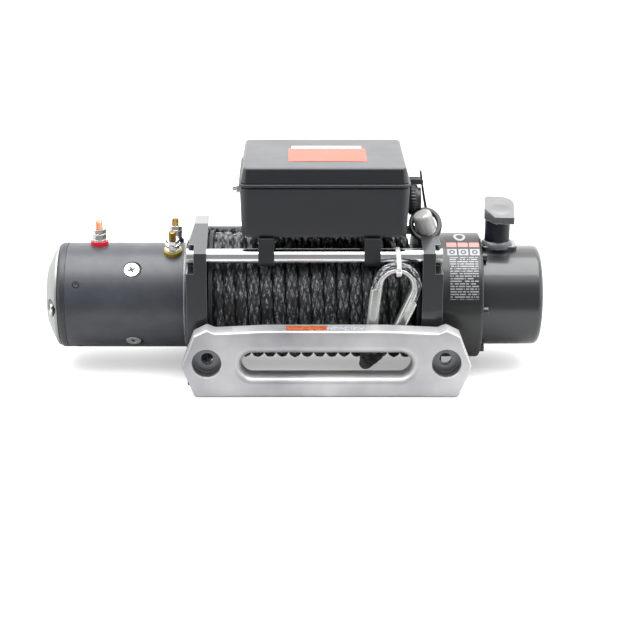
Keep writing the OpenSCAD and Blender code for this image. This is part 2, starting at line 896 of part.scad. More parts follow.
module carrier_2() {
    color([0.5, 0.5, 0.53]) carrier_with_sun(stage_2_x, module_12, pin_r_12, stage_3_x, module_3);
}

module splines(x0, x1, r, play) {
    along_x(x0) for (i = [0 : spline_count - 1]) rotate([0, 0, i * 360 / spline_count])
        translate([0, -spline_w / 2 - play, 0]) cube([r + play, spline_w + 2 * play, x1 - x0]);
}

module carrier_3() {
    hub_x0 = journal_x - spline_len;
    color([0.5, 0.5, 0.53]) difference() {
        union() {
            carrier(stage_3_x, module_3, pin_r_3);
            rod(hub_x0, stage_3_x - carrier_gap, drum_ir - hub_gap);
            splines(hub_x0, journal_x, drum_ir + spline_t, 0);
        }
        rod(hub_x0 - over, stage_3_x + over, shaft_r + shaft_pass);
    }
}

module drive_shaft() {
    color([0.66, 0.67, 0.7]) union() {
        rod(ring_x0 - cap_rise + shaft_end_gap, eh_x1 - eh_end_t - shaft_end_gap, shaft_r);
        along_x(stage_1_x) gear(sun_teeth, module_12, planet_t, shaft_r - over);
        rod(brake_x, brake_x + brake_len, brake_r);
    }
}

module armature() {
    color([0.55, 0.35, 0.2]) difference() {
        union() {
            rod(pole_x - armature_half, pole_x + armature_half, armature_r);
            rod(brush_x + brush_gap, pole_x - armature_half + over, commutator_r);
            rod(pole_x + armature_half - over, pole_x + armature_half + slot_t, armature_r - 2 * slot_t);
        }
        rod(can_x0, can_x1, shaft_r + seat_gap);
        along_x(pole_x - armature_half - over) ring_of(slot_count, armature_r - slot_t)
            translate([0, -slot_w / 2, 0]) cube([slot_t + over, slot_w, 2 * armature_half + 2 * over]);
    }
}

// Clutch

module clutch_base() {
    color([0.12, 0.13, 0.14]) difference() {
        union() {
            translate([clutch_x, 0, base_top - base_skirt])
                rounded_plate(base_block, base_block, base_skirt, base_block_r);
            translate([clutch_x, 0, base_top]) cylinder(h = collar_h, r = collar_r);
        }
        rod(eh_x0 - over - base_block, eh_x1, eh_r + seat_gap);
        rod(gh_x0, gh_x1 + seat_gap, gh_r + seat_gap);
        translate([clutch_x, 0, axis_h]) cylinder(h = base_top, d = stem_d + 2 * run_gap);
    }
}

module clutch_stem() {
    color([0.12, 0.13, 0.15]) translate([clutch_x, 0, 0]) union() {
        translate([0, 0, stem_foot]) cylinder(h = stem_top - stem_foot, d = stem_d);
        translate([0, 0, axis_h + eh_r - eh_wall - clutch_pin_dip + loose_gap])
            cylinder(h = stem_foot - axis_h - eh_r + eh_wall + clutch_pin_dip, r = clutch_pin_r);
    }
}

module clutch_knob() {
    color([0.24, 0.25, 0.26]) difference() {
        intersection() {
            translate([clutch_x - knob_w / 2, 0, stem_top]) rotate([90, 0, 90])
                linear_extrude(height = knob_w) polygon([
                    [-knob_d / 2, 0], [knob_d / 2, 0],
                    [knob_d / 2, knob_front_h + knob_slope], [-knob_d / 2, knob_front_h]
                ]);
            translate([clutch_x, 0, stem_top - over]) linear_extrude(height = knob_d) union() {
                polygon([
                    [-knob_w / 2, -knob_d / 2 + knob_cut_d], [-knob_w / 2 + knob_cut_w, -knob_d / 2],
                    [knob_w / 2, -knob_d / 2], [knob_w / 2, knob_d / 2 - knob_corner_r],
                    [knob_w / 2 - knob_corner_r, knob_d / 2], [-knob_w / 2, knob_d / 2]
                ]);
                translate([knob_w / 2 - knob_corner_r, knob_d / 2 - knob_corner_r])
                    circle(r = knob_corner_r);
            }
        }
        translate([clutch_x, 0, stem_top - over])
            cylinder(h = knob_front_h, d = knob_bolt_d + 2 * seat_gap);
    }
}

// Control box

module box_base() {
    color([0.2, 0.21, 0.23]) difference() {
        union() {
            translate([box_x, 0, box_z0])
                rounded_plate(box_w - 2 * base_draft, box_d - 2 * base_draft, base_h, box_corner_r);
            translate([box_x, 0, rim_z - lid_lip_h])
                rounded_plate(box_w, box_d, lid_lip_h, box_corner_r);
        }
        translate([box_x, 0, box_z0 + box_wall])
            rounded_plate(box_w - 2 * base_draft - 2 * box_wall, box_d - 2 * base_draft - 2 * box_wall,
                          base_h, box_corner_r - box_wall);
        translate([box_x1 - base_draft - box_wall - over, socket_y, socket_z]) rotate([0, 90, 0])
            cylinder(h = base_draft + box_wall + 2 * over, r = socket_r + seat_gap);
        translate([box_x0 - over, side_bolt_y, side_bolt_z]) rotate([0, 90, 0])
            cylinder(h = base_draft + box_wall + 2 * over, d = box_screw_d + 2 * seat_gap);
        bracket_screw_spots() translate([0, 0, -over])
            cylinder(h = box_wall + 2 * over, d = box_screw_d + 2 * seat_gap);
    }
}

module box_lid() {
    color([0.16, 0.17, 0.18]) difference() {
        hull($fn = 32) {
            translate([box_x, 0, rim_z])
                rounded_plate(box_w + 2 * lid_lip_w, box_d + 2 * lid_lip_w, lid_lip_h,
                              box_corner_r + lid_lip_w, $fn = 32);
            translate([box_x, 0, rim_z + lid_h - lid_round - over])
                rounded_plate(box_w - 2 * lid_draft, box_d - 2 * lid_draft, over,
                              box_corner_r - lid_lip_w, $fn = 32);
            translate([box_x, 0, rim_z + lid_h - over])
                rounded_plate(box_w - 2 * lid_draft - 2 * lid_round, box_d - 2 * lid_draft - 2 * lid_round,
                              over, box_corner_r - lid_lip_w, $fn = 32);
        }
        translate([box_x, 0, rim_z - over])
            rounded_plate(box_w - 2 * lid_draft - 2 * box_wall, box_d - 2 * lid_draft - 2 * box_wall,
                          lid_h - box_wall + over, box_corner_r - box_wall);
    }
}

// Where the brackets are screwed to the floor of the box
module bracket_screw_spots() {
    for (sx = [-1, 1], sy = [-1, 1])
        translate([bracket_pos(sx), sy * box_screw_y, box_z0]) children();
}

function bracket_pos(side) = side < 0 ? left_bracket_x : right_bracket_x;

// A strap under the box with a clamp round each tie bar
module box_bracket(side) {
    clamp_r = tie_bar_d / 2 + seat_gap + clamp_wall;
    translate([bracket_pos(side) - bracket_w / 2, 0, 0]) difference() {
        union() {
            translate([0, -tie_y - clamp_r, box_z0 - bracket_t])
                cube([bracket_w, 2 * (tie_y + clamp_r), bracket_t]);
            for (s = [-1, 1]) {
                translate([0, s * tie_y, tie_z]) rotate([0, 90, 0]) cylinder(h = bracket_w, r = clamp_r);
                translate([0, s * tie_y - clamp_r, tie_z])
                    cube([bracket_w, 2 * clamp_r, box_z0 - bracket_t - tie_z]);
            }
        }
        for (s = [-1, 1]) translate([-over, s * tie_y, tie_z]) rotate([0, 90, 0])
            cylinder(h = bracket_w + 2 * over, d = tie_bar_d + 2 * seat_gap);
        for (s = [-1, 1])
            translate([bracket_w / 2, s * box_screw_y, box_z0 - bracket_t - over])
                cylinder(h = bracket_t + 2 * over, d = box_screw_d + 2 * seat_gap);
    }
}

module left_box_bracket() {
    color([0.14, 0.15, 0.16]) box_bracket(-1);
}

module right_box_bracket() {
    color([0.14, 0.15, 0.16]) box_bracket(1);
}

module box_screws() {
    color([0.75, 0.7, 0.5]) {
        bracket_screw_spots() {
            translate([0, 0, -bracket_t - box_screw_head_t])
                cylinder(h = box_screw_head_t, d = box_screw_head);
            translate([0, 0, -bracket_t])
                cylinder(h = bracket_t + box_wall + box_screw_reach, d = box_screw_d);
        }
        translate([box_x0 + base_draft - side_nut_t, side_bolt_y, side_bolt_z]) rotate([0, 90, 0])
            cylinder(h = side_nut_t, d = side_nut_w, $fn = 6);
        translate([box_x0 + base_draft - side_bolt_len, side_bolt_y, side_bolt_z]) rotate([0, 90, 0])
            cylinder(h = side_bolt_len + box_wall + box_screw_reach, d = box_screw_d);
    }
}

module contactor() {
    color([0.3, 0.3, 0.32]) for (s = [-1, 1])
        translate([box_x + s * contactor_gap / 2, 0, box_z0 + box_wall]) {
            cylinder(h = contactor_h, r = contactor_r);
            for (t = [-1, 1]) translate([0, t * contactor_r / 2, contactor_h])
                cylinder(h = post_h, r = post_r);
        }
}

// Socket and its dust cap

module remote_socket() {
    color([0.13, 0.14, 0.15]) translate([box_x1 - base_draft - box_wall, socket_y, socket_z])
        rotate([0, 90, 0]) {
            difference() {
                union() {
                    cylinder(h = box_wall + socket_len, r = socket_r);
                    translate([0, 0, box_wall]) cylinder(h = socket_flange_t, r = socket_flange_r);
                }
                translate([0, 0, socket_floor]) cylinder(h = box_wall + socket_len, r = socket_bore_r);
            }
            ring_of(pin_count, pin_ring_r) translate([0, 0, socket_floor - over])
                cylinder(h = pin_len, r = pin_r);
        }
    // ear over the socket that carries the strap's pin
    color([0.13, 0.14, 0.15]) translate([box_x1 - base_draft, socket_y, socket_z]) difference() {
        union() {
            translate([0, -strap_w / 2, socket_r])
                cube([socket_flange_t, strap_w, hinge_z - socket_z - socket_r]);
            translate([0, -strap_w / 2, hinge_z - socket_z - hinge_ear_r])
                cube([ear_reach, strap_w / 4, 2 * hinge_ear_r]);
            translate([0, strap_w / 4, hinge_z - socket_z - hinge_ear_r])
                cube([ear_reach, strap_w / 4, 2 * hinge_ear_r]);
            for (s = [-1, 1]) translate([ear_reach, s * strap_w * 3 / 8 - strap_w / 8, hinge_z - socket_z])
                rotate([-90, 0, 0]) cylinder(h = strap_w / 4, r = hinge_ear_r);
            translate([ear_reach, -strap_w / 2, hinge_z - socket_z])
                rotate([-90, 0, 0]) cylinder(h = strap_w, r = hinge_pin_r);
        }
    }
}

// Rubber strap on the ear's pin, with a loop and a dust cap that lie over the support's crown
module socket_cap() {
    slope = atan((crown_h - shoulder_h) / (support_d / 2 - crown_d / 2));
    color([0.1, 0.1, 0.11]) difference() {
        union() {
            translate([strap_x, socket_y, hinge_z]) {
                translate([0, -strap_w / 4 + loose_gap, 0]) rotate([-90, 0, 0])
                    cylinder(h = strap_w / 2 - 2 * loose_gap, r = hinge_ear_r);
                rotate([0, -strap_lean, 0])
                    translate([hinge_ear_r - strap_t, -strap_w / 4 + loose_gap, -strap_down])
                        cube([strap_t, strap_w / 2 - 2 * loose_gap, strap_down + strap_up]);
            }
            translate([loop_x, loop_y, loop_z]) rotate([slope, 0, 0]) {
                difference() {
                    rounded_plate(loop_w, loop_d, loop_t, loop_corner_r);
                    translate([0, 0, -over])
                        rounded_plate(loop_w - 2 * loop_band, loop_d - 2 * loop_band, loop_t + 2 * over,
                                      loop_corner_r - loop_band);
                }
                translate([0, -loop_d / 2 + loop_band + dome_r, 0]) {
                    cylinder(h = dome_h, r = dome_r);
                    rounded_plate(loop_w - loop_band, loop_band, loop_t / 2, web_corner_r);
                }
            }
        }
        translate([strap_x, socket_y - strap_w, hinge_z]) rotate([-90, 0, 0])
            cylinder(h = 2 * strap_w, r = hinge_pin_r + run_gap);
    }
}

// Drum and rope

module drum() {
    color([0.18, 0.19, 0.2]) difference() {
        union() {
            rod(-flange_x, flange_x, drum_r);
            for (end = [0, 1]) mirror([end, 0, 0]) {
                rod(flange_x - flange_t, flange_x, flange_r);
                rod(flange_x, journal_x, journal_r);
            }
        }
        rod(-journal_x - over, journal_x + over, drum_ir);
        splines(journal_x - spline_len, journal_x + over, drum_ir + spline_t, hub_gap);
        along_x(-flange_x - over) translate([core_r - 2 * anchor_r, 0, 0])
            cylinder(h = anchor_len, r = anchor_r);
    }
}

module rope_core() {
    color([0.12, 0.12, 0.13])
        tube(-flange_x + flange_t + loose_gap, flange_x - flange_t - loose_gap, core_r, drum_r + seat_gap);
}

// Middle of the rope at a turn count along the outer layer, with straight ends
function wind_angle(t) = winding_start + 360 * t;
function wind_dir(t) = [0, -sin(wind_angle(t)), cos(wind_angle(t))];
function wind_out(t) = [0, cos(wind_angle(t)), sin(wind_angle(t))];
function wind_point(t) = [winding_x0 + rope_pitch * t, 0, 0] + rope_path_r * wind_out(t);
winding_rings = rope_turns * rings_per_turn;
wind_steps = [for (i = [0 : winding_rings]) i / rings_per_turn];
wind_centres = concat(
    [wind_point(0) - rope_d * wind_dir(0)],
    [for (t = wind_steps) wind_point(t)],
    [wind_point(rope_turns) + rope_d * wind_dir(rope_turns)]
);
wind_outs = concat([wind_out(0)], [for (t = wind_steps) wind_out(t)], [wind_out(rope_turns)]);

// Closed skin over a row of rings, each with the same number of points
module skin(rings) {
    sides = len(rings[0]);
    count = len(rings);
    points = [for (ring = rings) each ring];
    faces = concat(
        [for (i = [1 : sides - 2]) [0, i, i + 1]],
        [for (k = [0 : count - 2], i = [0 : sides - 1])
            [k * sides + i, (k + 1) * sides + i, (k + 1) * sides + (i + 1) % sides]],
        [for (k = [0 : count - 2], i = [0 : sides - 1])
            [k * sides + i, (k + 1) * sides + (i + 1) % sides, k * sides + (i + 1) % sides]],
        [for (i = [1 : sides - 2]) let (b = (count - 1) * sides) [b, b + i + 1, b + i]]
    );
    polyhedron(points = points, faces = faces, convexity = 10);
}

module rope_winding() {
    color([0.2, 0.2, 0.21]) translate([0, 0, axis_h]) skin([
        for (k = [0 : len(wind_centres) - 1]) [
            for (i = [0 : rope_sides - 1]) let (a = 360 * (i + 0.5) / rope_sides)
                wind_centres[k] + rope_r * (cos(a) * wind_outs[k] + sin(a) * [-1, 0, 0])
        ]
    ]);
}

// Least gap between each ring's middle and those a turn on, less the rope itself
turn_gap = min([
    for (i = [0 : winding_rings - rings_per_turn])
        for (j = [i + rings_per_turn - 4 : min(i + rings_per_turn + 4, winding_rings)])
            norm(wind_point(wind_steps[i]) - wind_point(wind_steps[j]))
]) - rope_d;
echo(least_gap_between_rope_turns = turn_gap);

// Thimble and rope eye, in the plane of the eye: X to the right, Z up

module eye_place() {
    translate([eye_x, eye_y, eye_z]) rotate([90, 0, 0]) children();
}

// Place on the thimble's arch at a distance from its bearing face, and the ends of its legs
function thimble_at(a, d) = (eye_inner_r + d) * [cos(a), sin(a)];
function right_end(d, run) = thimble_at(-right_lean, d) - run * [sin(right_lean), cos(right_lean)];
function left_end(d, run) = thimble_at(180 - left_lean, d) - run * [sin(left_lean), cos(left_lean)];

// The channel's walls are lowest at the top of the arch
function wall_reach(a) =
    thimble_t + arch_wall_h + (leg_wall_h - arch_wall_h) * pow(abs(a - arch_mid) / arch_half, 4);

// Outline in the plane of the eye, from a distance off the bearing face to the walls' edge
module thimble_outline(d, extra, run) {
    polygon(concat(
        [right_end(d, run)],
        [for (a = arch_angles) thimble_at(a, d)],
        [left_end(d, run), left_end(wall_reach(180 - left_lean) + extra, run)],
        [for (i = [arch_facets : -1 : 0]) thimble_at(arch_angles[i], wall_reach(arch_angles[i]) + extra)],
        [right_end(wall_reach(-right_lean) + extra, run)]
    ));
}

module thimble() {
    color([0.83, 0.84, 0.82]) eye_place() difference() {
        translate([0, 0, -groove_w / 2 - thimble_wall]) linear_extrude(height = groove_w + 2 * thimble_wall)
            thimble_outline(0, 0, thimble_leg);
        translate([0, 0, -groove_w / 2]) linear_extrude(height = groove_w)
            thimble_outline(thimble_t, over, thimble_leg + over);
    }
}

function eye_arch(a) = eye_path_r * [cos(a), sin(a), 0];
arch_steps = 14;
left_dir = [-sin(left_lean), -cos(left_lean), 0];
right_dir = [-sin(right_lean), -cos(right_lean), 0];
function leg_point(p) = [p[0] - eye_x, p[1] - eye_z, 0];
right_leg_end = [for (i = [len(right_leg_route) - 1 : -1 : 0]) leg_point(right_leg_route[i])];
left_leg_end = [for (p = left_leg_route) leg_point(p)];
eye_path = concat(
    right_leg_end,
    [eye_arch(-right_lean) + eye_leg_run / 2 * right_dir],
    [for (i = [0 : arch_steps]) eye_arch(-right_lean + i * (180 + right_lean - left_lean) / arch_steps)],
    [eye_arch(180 - left_lean) + eye_leg_run / 2 * left_dir],
    left_leg_end
);

function unit(v) = v / norm(v);
function path_dir(p, i) = unit(p[min(i + 1, len(p) - 1)] - p[max(i - 1, 0)]);

// Ring of points round a path that lies nearly in a plane with the given normal
function path_ring(p, i, side_dir, half_a, half_b, sides) =
    let (d = path_dir(p, i), b = unit(side_dir - (side_dir * d) * d), c = cross(d, b))
    [for (k = [0 : sides - 1]) let (a = 360 * (k + 0.5) / sides)
        p[i] + half_a * cos(a) * b + half_b * sin(a) * c];

module rope_eye() {
    color([0.2, 0.2, 0.21]) eye_place() skin([
        for (i = [0 : len(eye_path) - 1])
            path_ring(eye_path, len(eye_path) - 1 - i, [0, 0, 1], eye_rope_d / 2, -eye_rope_d / 2, 8)
    ]);
}

module rope_splice() {
    color([0.18, 0.18, 0.19]) skin([
        for (i = [0 : len(splice_route) - 1])
            path_ring(splice_route, i, [1, 0, 0], splice_half_w[i], -splice_half_d[i], splice_sides)
    ]);
}

module rope_tail() {
    color([0.2, 0.2, 0.21]) skin([
        for (i = [0 : len(tail_route) - 1])
            path_ring(tail_route, i, [1, 0, 0], rope_r, -rope_r, tail_sides)
    ]);
}

module tie_loop(grow) {
    hull() {
        translate([-tie_y, tie_z]) circle(d = tie_bar_d + 2 * grow);
        translate([eye_y, eye_z + eye_path_r]) circle(r = tie_foot_r + grow);
    }
}

module cable_tie() {
    color([0.94, 0.94, 0.92]) translate([tie_x - tie_strap_w / 2, 0, 0]) union() {
        rotate([90, 0, 90]) linear_extrude(height = tie_strap_w) difference() {
            tie_loop(loose_gap + tie_strap_t, $fn = 32);
            tie_loop(loose_gap, $fn = 32);
        }
    }
}

// Fairlead

function half_outline() = [
    [fairlead_span / 2 + foot_bulge, 0],
    [fairlead_span / 2 + side_bulge, fairlead_h * bulge_height_share],
    [fairlead_span / 2 + shoulder_bulge, fairlead_h - 2 * ear_dip],
    [fairlead_span / 2, fairlead_h],
    [fairlead_span / 2 - ear_rise_w, fairlead_h - ear_dip],
    [fairlead_span / 4, fairlead_h - top_dip]
];

function mirrored(points) = [for (i = [len(points) - 1 : -1 : 0]) [-points[i][0], points[i][1]]];

module slot_shape(grow, t) {
    linear_extrude(height = t) union() {
        square([slot_len - slot_h, slot_h + 2 * grow], center = true);
        for (s = [-1, 1]) translate([s * (slot_len - slot_h) / 2, 0]) circle(d = slot_h + 2 * grow);
    }
}

module slot_flare_at(y, turn) {
    translate([fairlead_x, y, slot_z]) rotate([turn, 0, 0]) hull() {
        translate([0, 0, -over]) slot_shape(slot_flare, over, $fn = 32);
        slot_shape(0, flare_t, $fn = 32);
    }
}

module fairlead() {
    color([0.78, 0.78, 0.8]) difference() {
        translate([fairlead_x, fairlead_back, 0]) rotate([90, 0, 0]) linear_extrude(height = fairlead_t)
            polygon(concat(half_outline(), mirrored(half_outline())));
        translate([fairlead_x, fairlead_back + over, slot_z]) rotate([90, 0, 0])
            slot_shape(0, fairlead_t + 2 * over);
        slot_flare_at(fairlead_front, -90);
        slot_flare_at(fairlead_back, 90);
        for (s = [-1, 1]) translate([fairlead_x + s * fairlead_span / 2, fairlead_back + over, hole_z])
            rotate([90, 0, 0]) {
                cylinder(h = fairlead_t + 2 * over, d = fairlead_hole_d);
                translate([0, 0, over + fairlead_t - cup_t]) cylinder(h = cup_t + over, r = cup_r);
            }
    }
}

motor_support();
gearbox_support();
foot_nuts();
front_tie_bar();
rear_tie_bar();
tie_bar_bolts();
drum_bushes();
motor_can();
motor_end_ring();
motor_end_cap();
motor_screws();
pole_shoes();
field_coils();
brush_gear();
shaft_bearings();
red_terminal_base();
yellow_terminal_base();
black_terminal_base();
terminal_studs();
terminal_nuts();
gear_housing();
end_housing();
ring_gear_1();
ring_gear_2();
ring_gear_3();
housing_screws();
clutch_base();
clutch_stem();
clutch_knob();
box_base();
box_lid();
left_box_bracket();
right_box_bracket();
box_screws();
contactor();
remote_socket();
socket_cap();
drum();
rope_core();
rope_winding();
carrier_1();
carrier_2();
carrier_3();
planet_1a();
planet_1b();
planet_1c();
planet_2a();
planet_2b();
planet_2c();
planet_3a();
planet_3b();
planet_3c();
drive_shaft();
armature();
thimble();
rope_eye();
rope_splice();
rope_tail();
cable_tie();
fairlead();
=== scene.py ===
"""Looks of an electric recovery winch: studio, rope, castings, motor, gearbox, clutch and control box."""

import functools
import logging
import math
from dataclasses import dataclass, field
from enum import Enum
from typing import Any

import bmesh
import bpy
import numpy as np
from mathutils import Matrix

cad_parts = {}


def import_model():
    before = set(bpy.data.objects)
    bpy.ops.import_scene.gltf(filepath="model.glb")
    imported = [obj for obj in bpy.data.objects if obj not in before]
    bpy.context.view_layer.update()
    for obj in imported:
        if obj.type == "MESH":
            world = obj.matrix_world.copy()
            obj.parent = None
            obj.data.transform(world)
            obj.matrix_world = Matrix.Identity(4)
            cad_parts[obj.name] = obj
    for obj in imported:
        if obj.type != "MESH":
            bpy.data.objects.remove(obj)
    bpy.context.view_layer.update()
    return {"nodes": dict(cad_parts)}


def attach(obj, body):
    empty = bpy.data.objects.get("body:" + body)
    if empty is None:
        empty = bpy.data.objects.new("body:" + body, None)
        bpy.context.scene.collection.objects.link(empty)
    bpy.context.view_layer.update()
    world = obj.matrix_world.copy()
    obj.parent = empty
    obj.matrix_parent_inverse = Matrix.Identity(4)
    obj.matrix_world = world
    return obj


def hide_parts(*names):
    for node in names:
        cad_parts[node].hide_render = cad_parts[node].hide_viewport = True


LOG = logging.getLogger("winch")
MM = 0.001
Array = np.ndarray
Piece = bpy.types.Object
Tree = bpy.types.NodeTree
Socket = bpy.types.NodeSocket
# What local x, y and z are sent along when a surface is turned
Directions = tuple[tuple[float, float, float], ...]
# Height of the drum's axis over the feet, in millimetres
AXIS_HEIGHT = 78.0
# Directions of local x, y and z that stand a turned piece's axis up, or lay it from front to back
UPRIGHT: Directions = ((0, 0, 1), (1, 0, 0), (0, 1, 0))
TO_BACK: Directions = ((0, 1, 0), (1, 0, 0), (0, 0, 1))
# The nodes that do arithmetic and stretch a range
MATHS = "Math"
RANGE = "MapRange"


# Shapes


def unit(vectors: Array) -> Array:
    """Scales each vector to length one.

    Args:
        vectors: Vectors in the last axis.

    Returns:
        The same directions, each of length one.
    """
    return vectors / np.maximum(np.linalg.norm(vectors, axis=-1, keepdims=True), 1e-12)


def run_along(line: Array) -> Array:
    """Distance from a line's start at each of its points."""
    return np.r_[0, np.cumsum(np.linalg.norm(np.diff(line, axis=0), axis=1))]


def close_ring(ring: Array) -> Array:
    """Repeats a ring's first point at its end."""
    return np.concatenate([ring, ring[:1]])


def along_ring(ring: Array) -> Array:
    """Directions along a closed ring, each from the point before to the point after."""
    return close_ring(unit(np.roll(ring[:-1], -1, 0) - np.roll(ring[:-1], 1, 0)))


def at_height(ring: Array, z: Array | float) -> Array:
    """Lifts an outline (x, y) to one height, or each of its points to its own."""
    return np.column_stack([ring, np.broadcast_to(z, len(ring))])


def ease(share: Array) -> Array:
    """Rises from 0 to 1 with the share s, level at both ends: 3 s squared less 2 s cubed."""
    s = np.clip(share, 0, 1)
    return s * s * (3 - 2 * s)


def around(angle_deg: float) -> Directions:
    """Directions that leave local x as it is and send local z out at an angle.

    Args:
        angle_deg: Angle from the back (+Y) towards the top (+Z).

    Returns:
        The directions of local x, y and z.
    """
    c, s = math.cos(math.radians(angle_deg)), math.sin(math.radians(angle_deg))
    return ((1, 0, 0), (0, s, -c), (0, c, s))


def round_corners(points: Array | list, radii: Array | float, steps: int) -> Array:
    """Replaces each corner of a closed line with an arc that touches both its sides.

    The arc's ends lie radius / tan(half the inner angle) from the corner, and its points turn
    evenly between the two directions from its centre.

    Args:
        points: Corners, in two or three dimensions.
        radii: One radius, or one for each corner.
        steps: Points in each arc.

    Returns:
        The rounded line, without a repeated last point.
    """
    points = np.asarray(points, float)
    radii = np.broadcast_to(radii, len(points))
    before = unit(np.roll(points, 1, 0) - points)
    after = unit(np.roll(points, -1, 0) - points)
    half = 0.5 * np.arccos(np.clip((before * after).sum(1), -1, 1))
    half = np.clip(half, 1e-3, math.pi / 2 - 1e-4)
    reach = radii / np.tan(half)
    centre = points + unit(before + after) * (radii / np.sin(half))[:, None]
    start = points + before * reach[:, None] - centre
    end = points + after * reach[:, None] - centre
    turn = (math.pi - 2 * half)[:, None, None]
    share = np.linspace(0, 1, steps)[None, :, None]
    arc = (np.sin((1 - share) * turn) * start[:, None] + np.sin(share * turn) * end[:, None]) / np.sin(turn)
    sharp = (radii < 1e-9)[:, None, None]
    line = np.where(sharp, points[:, None], centre[:, None] + arc).reshape(-1, points.shape[1])
    keep = np.r_[True, np.linalg.norm(np.diff(line, axis=0), axis=1) > 1e-7]
    return line[keep]


def inset(points: Array, distance: float) -> Array:
    """Moves each side of a closed outline inwards and meets neighbouring sides again.

    Args:
        points: Corners of the outline, anticlockwise.
        distance: How far each side moves in.

    Returns:
        The corners of the smaller outline.
    """
    before = unit(points - np.roll(points, 1, 0))
    after = unit(np.roll(points, -1, 0) - points)
    normal_a = np.stack([-before[:, 1], before[:, 0]], 1)
    normal_b = np.stack([-after[:, 1], after[:, 0]], 1)
    bisector = unit(normal_a + normal_b)
    return points + bisector * (distance / (bisector * normal_a).sum(1))[:, None]


def smooth_line(points: Array | list, count: int) -> Array:
    """Passes one smooth curve through the points and spaces it evenly.

    Each stretch is the usual cubic whose slope at a point is half the step between its neighbours.

    Args:
        points: Points that the curve passes through.
        count: Points to return.

    Returns:
        Points at equal distances along the curve.
    """
    points = np.asarray(points, float)
    padded = np.concatenate([2 * points[:1] - points[1:2], points, 2 * points[-1:] - points[-2:-1]])
    t = np.linspace(0, len(padded) - 3 - 1e-9, 40 * len(points))
    i = t.astype(int)
    u = (t - i)[:, None]
    a, b, c, d = (padded[i + k] for k in range(4))
    line = 0.5 * (2 * b + (c - a) * u + (2 * a - 5 * b + 4 * c - d) * u**2 + (3 * b - a - 3 * c + d) * u**3)
    return respace(line, count)


def respace(line: Array, count: int) -> Array:
    """Spaces a line's points evenly.

    Args:
        line: Points along a line.
        count: Points to return.

    Returns:
        Points at equal distances along it.
    """
    run = run_along(line)
    at = np.linspace(0, run[-1], count)
    return np.stack([np.interp(at, run, line[:, k]) for k in range(line.shape[1])], 1)


@dataclass
class Skin:
    """A surface in millimetres: points, four-sided faces, flat end faces and a place on its own map."""

    points: Array
    quads: Array
    caps: list[Array] = field(default_factory=list)
    uv: Array | None = None

    @classmethod
    def grid(cls, points: Array, caps: bool = False, uv: Array | None = None) -> "Skin":
        """Joins each point of a grid to its neighbours in the next row and the next column.

        Args:
            points: Rows by columns by three.
            caps: Closes the first and the last row with a flat face each.
            uv: Rows by columns by two, or the row and column shares if it is left out.

        Returns:
            The surface.
        """
        rows, cols = points.shape[:2]
        i, j = np.meshgrid(np.arange(rows - 1), np.arange(cols - 1), indexing="ij")
        corner = (i * cols + j).ravel()
        quads = np.stack([corner, corner + cols, corner + cols + 1, corner + 1], 1)
        if uv is None:
            v, u = np.meshgrid(np.linspace(0, 1, rows), np.linspace(0, 1, cols), indexing="ij")
            uv = np.stack([u, v], 2)
        ring = np.arange(cols - 1)
        ends = [ring[::-1], ring + (rows - 1) * cols] if caps else []
        return cls(points.reshape(-1, 3), quads, ends, uv.reshape(-1, 2))

    def __add__(self, other: "Skin") -> "Skin":
        """Puts two surfaces in one piece.

        Args:
            other: The second surface.

        Returns:
            Both.
        """
        n = len(self.points)
        return Skin(
            np.concatenate([self.points, other.points]),
            np.concatenate([self.quads, other.quads + n]),
            self.caps + [cap + n for cap in other.caps],
            np.concatenate([self.uv, other.uv]),
        )

    def moved(self, offset: tuple[float, float, float]) -> "Skin":
        """Moves the surface by an offset in millimetres."""
        return Skin(self.points + np.array(offset), self.quads, self.caps, self.uv)

    def turned(self, rows: Array | Directions) -> "Skin":
        """Sets local x, y and z along the three directions given as rows."""
        return Skin(self.points @ np.asarray(rows, float), self.quads, self.caps, self.uv)

    def build(self, name: str, finish: "Finish", body: str = "frame", stands_for: tuple[str, ...] = (),
              slot: str = "", sharp: float = 38.0) -> Piece:
        """Makes the piece, dresses it and sets it on its body.

        Args:
            name: Name of the piece.
            finish: Material that it wears.
            body: CAD body that carries it.
            stands_for: CAD nodes that it replaces.
            slot: Not used.
            sharp: Angle in degrees above which an edge stays sharp.

        Returns:
            The new object.
        """
        mesh = self.mesh(name, sharp)
        piece = bpy.data.objects.new(name, mesh)
        bpy.context.scene.collection.objects.link(piece)
        mesh.materials.append(finish.material())
        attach(piece, body)
        if stands_for:
            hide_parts(*stands_for)
        LOG.info("%s: %d faces", name, len(mesh.polygons))
        return piece

    def mesh(self, name: str, sharp: float) -> bpy.types.Mesh:
        """Makes the mesh: closes its seams, turns its faces out and keeps its sharp edges.

        Args:
            name: Name of the mesh.
            sharp: Angle in degrees above which an edge stays sharp.

        Returns:
            The mesh.
        """
        mesh = bpy.data.meshes.new(name)
        faces = self.quads.tolist() + [cap.tolist() for cap in self.caps]
        mesh.from_pydata((self.points * MM).tolist(), [], faces)
        corners = np.zeros(len(mesh.loops), np.int32)
        mesh.loops.foreach_get("vertex_index", corners)
        mesh.uv_layers.new(name="UVMap").uv.foreach_set("vector", self.uv[corners].astype(np.float32).ravel())
        work = bmesh.new()
        work.from_mesh(mesh)
        bmesh.ops.remove_doubles(work, verts=work.verts, dist=2e-6)
        bmesh.ops.dissolve_degenerate(work, edges=work.edges, dist=1e-7)
        bmesh.ops.recalc_face_normals(work, faces=work.faces)
        work.to_mesh(mesh)
        work.free()
        mesh.shade_smooth()
        mesh.set_sharp_from_angle(angle=math.radians(sharp))
        return mesh


def join(parts: list[Skin]) -> Skin:
    """Puts several surfaces in one piece, in order."""
    return functools.reduce(Skin.__add__, parts)


def ring_angles(count: int) -> Array:
    """Angles of a closed ring, the last the same as the first."""
    return np.linspace(0, 2 * math.pi, count)


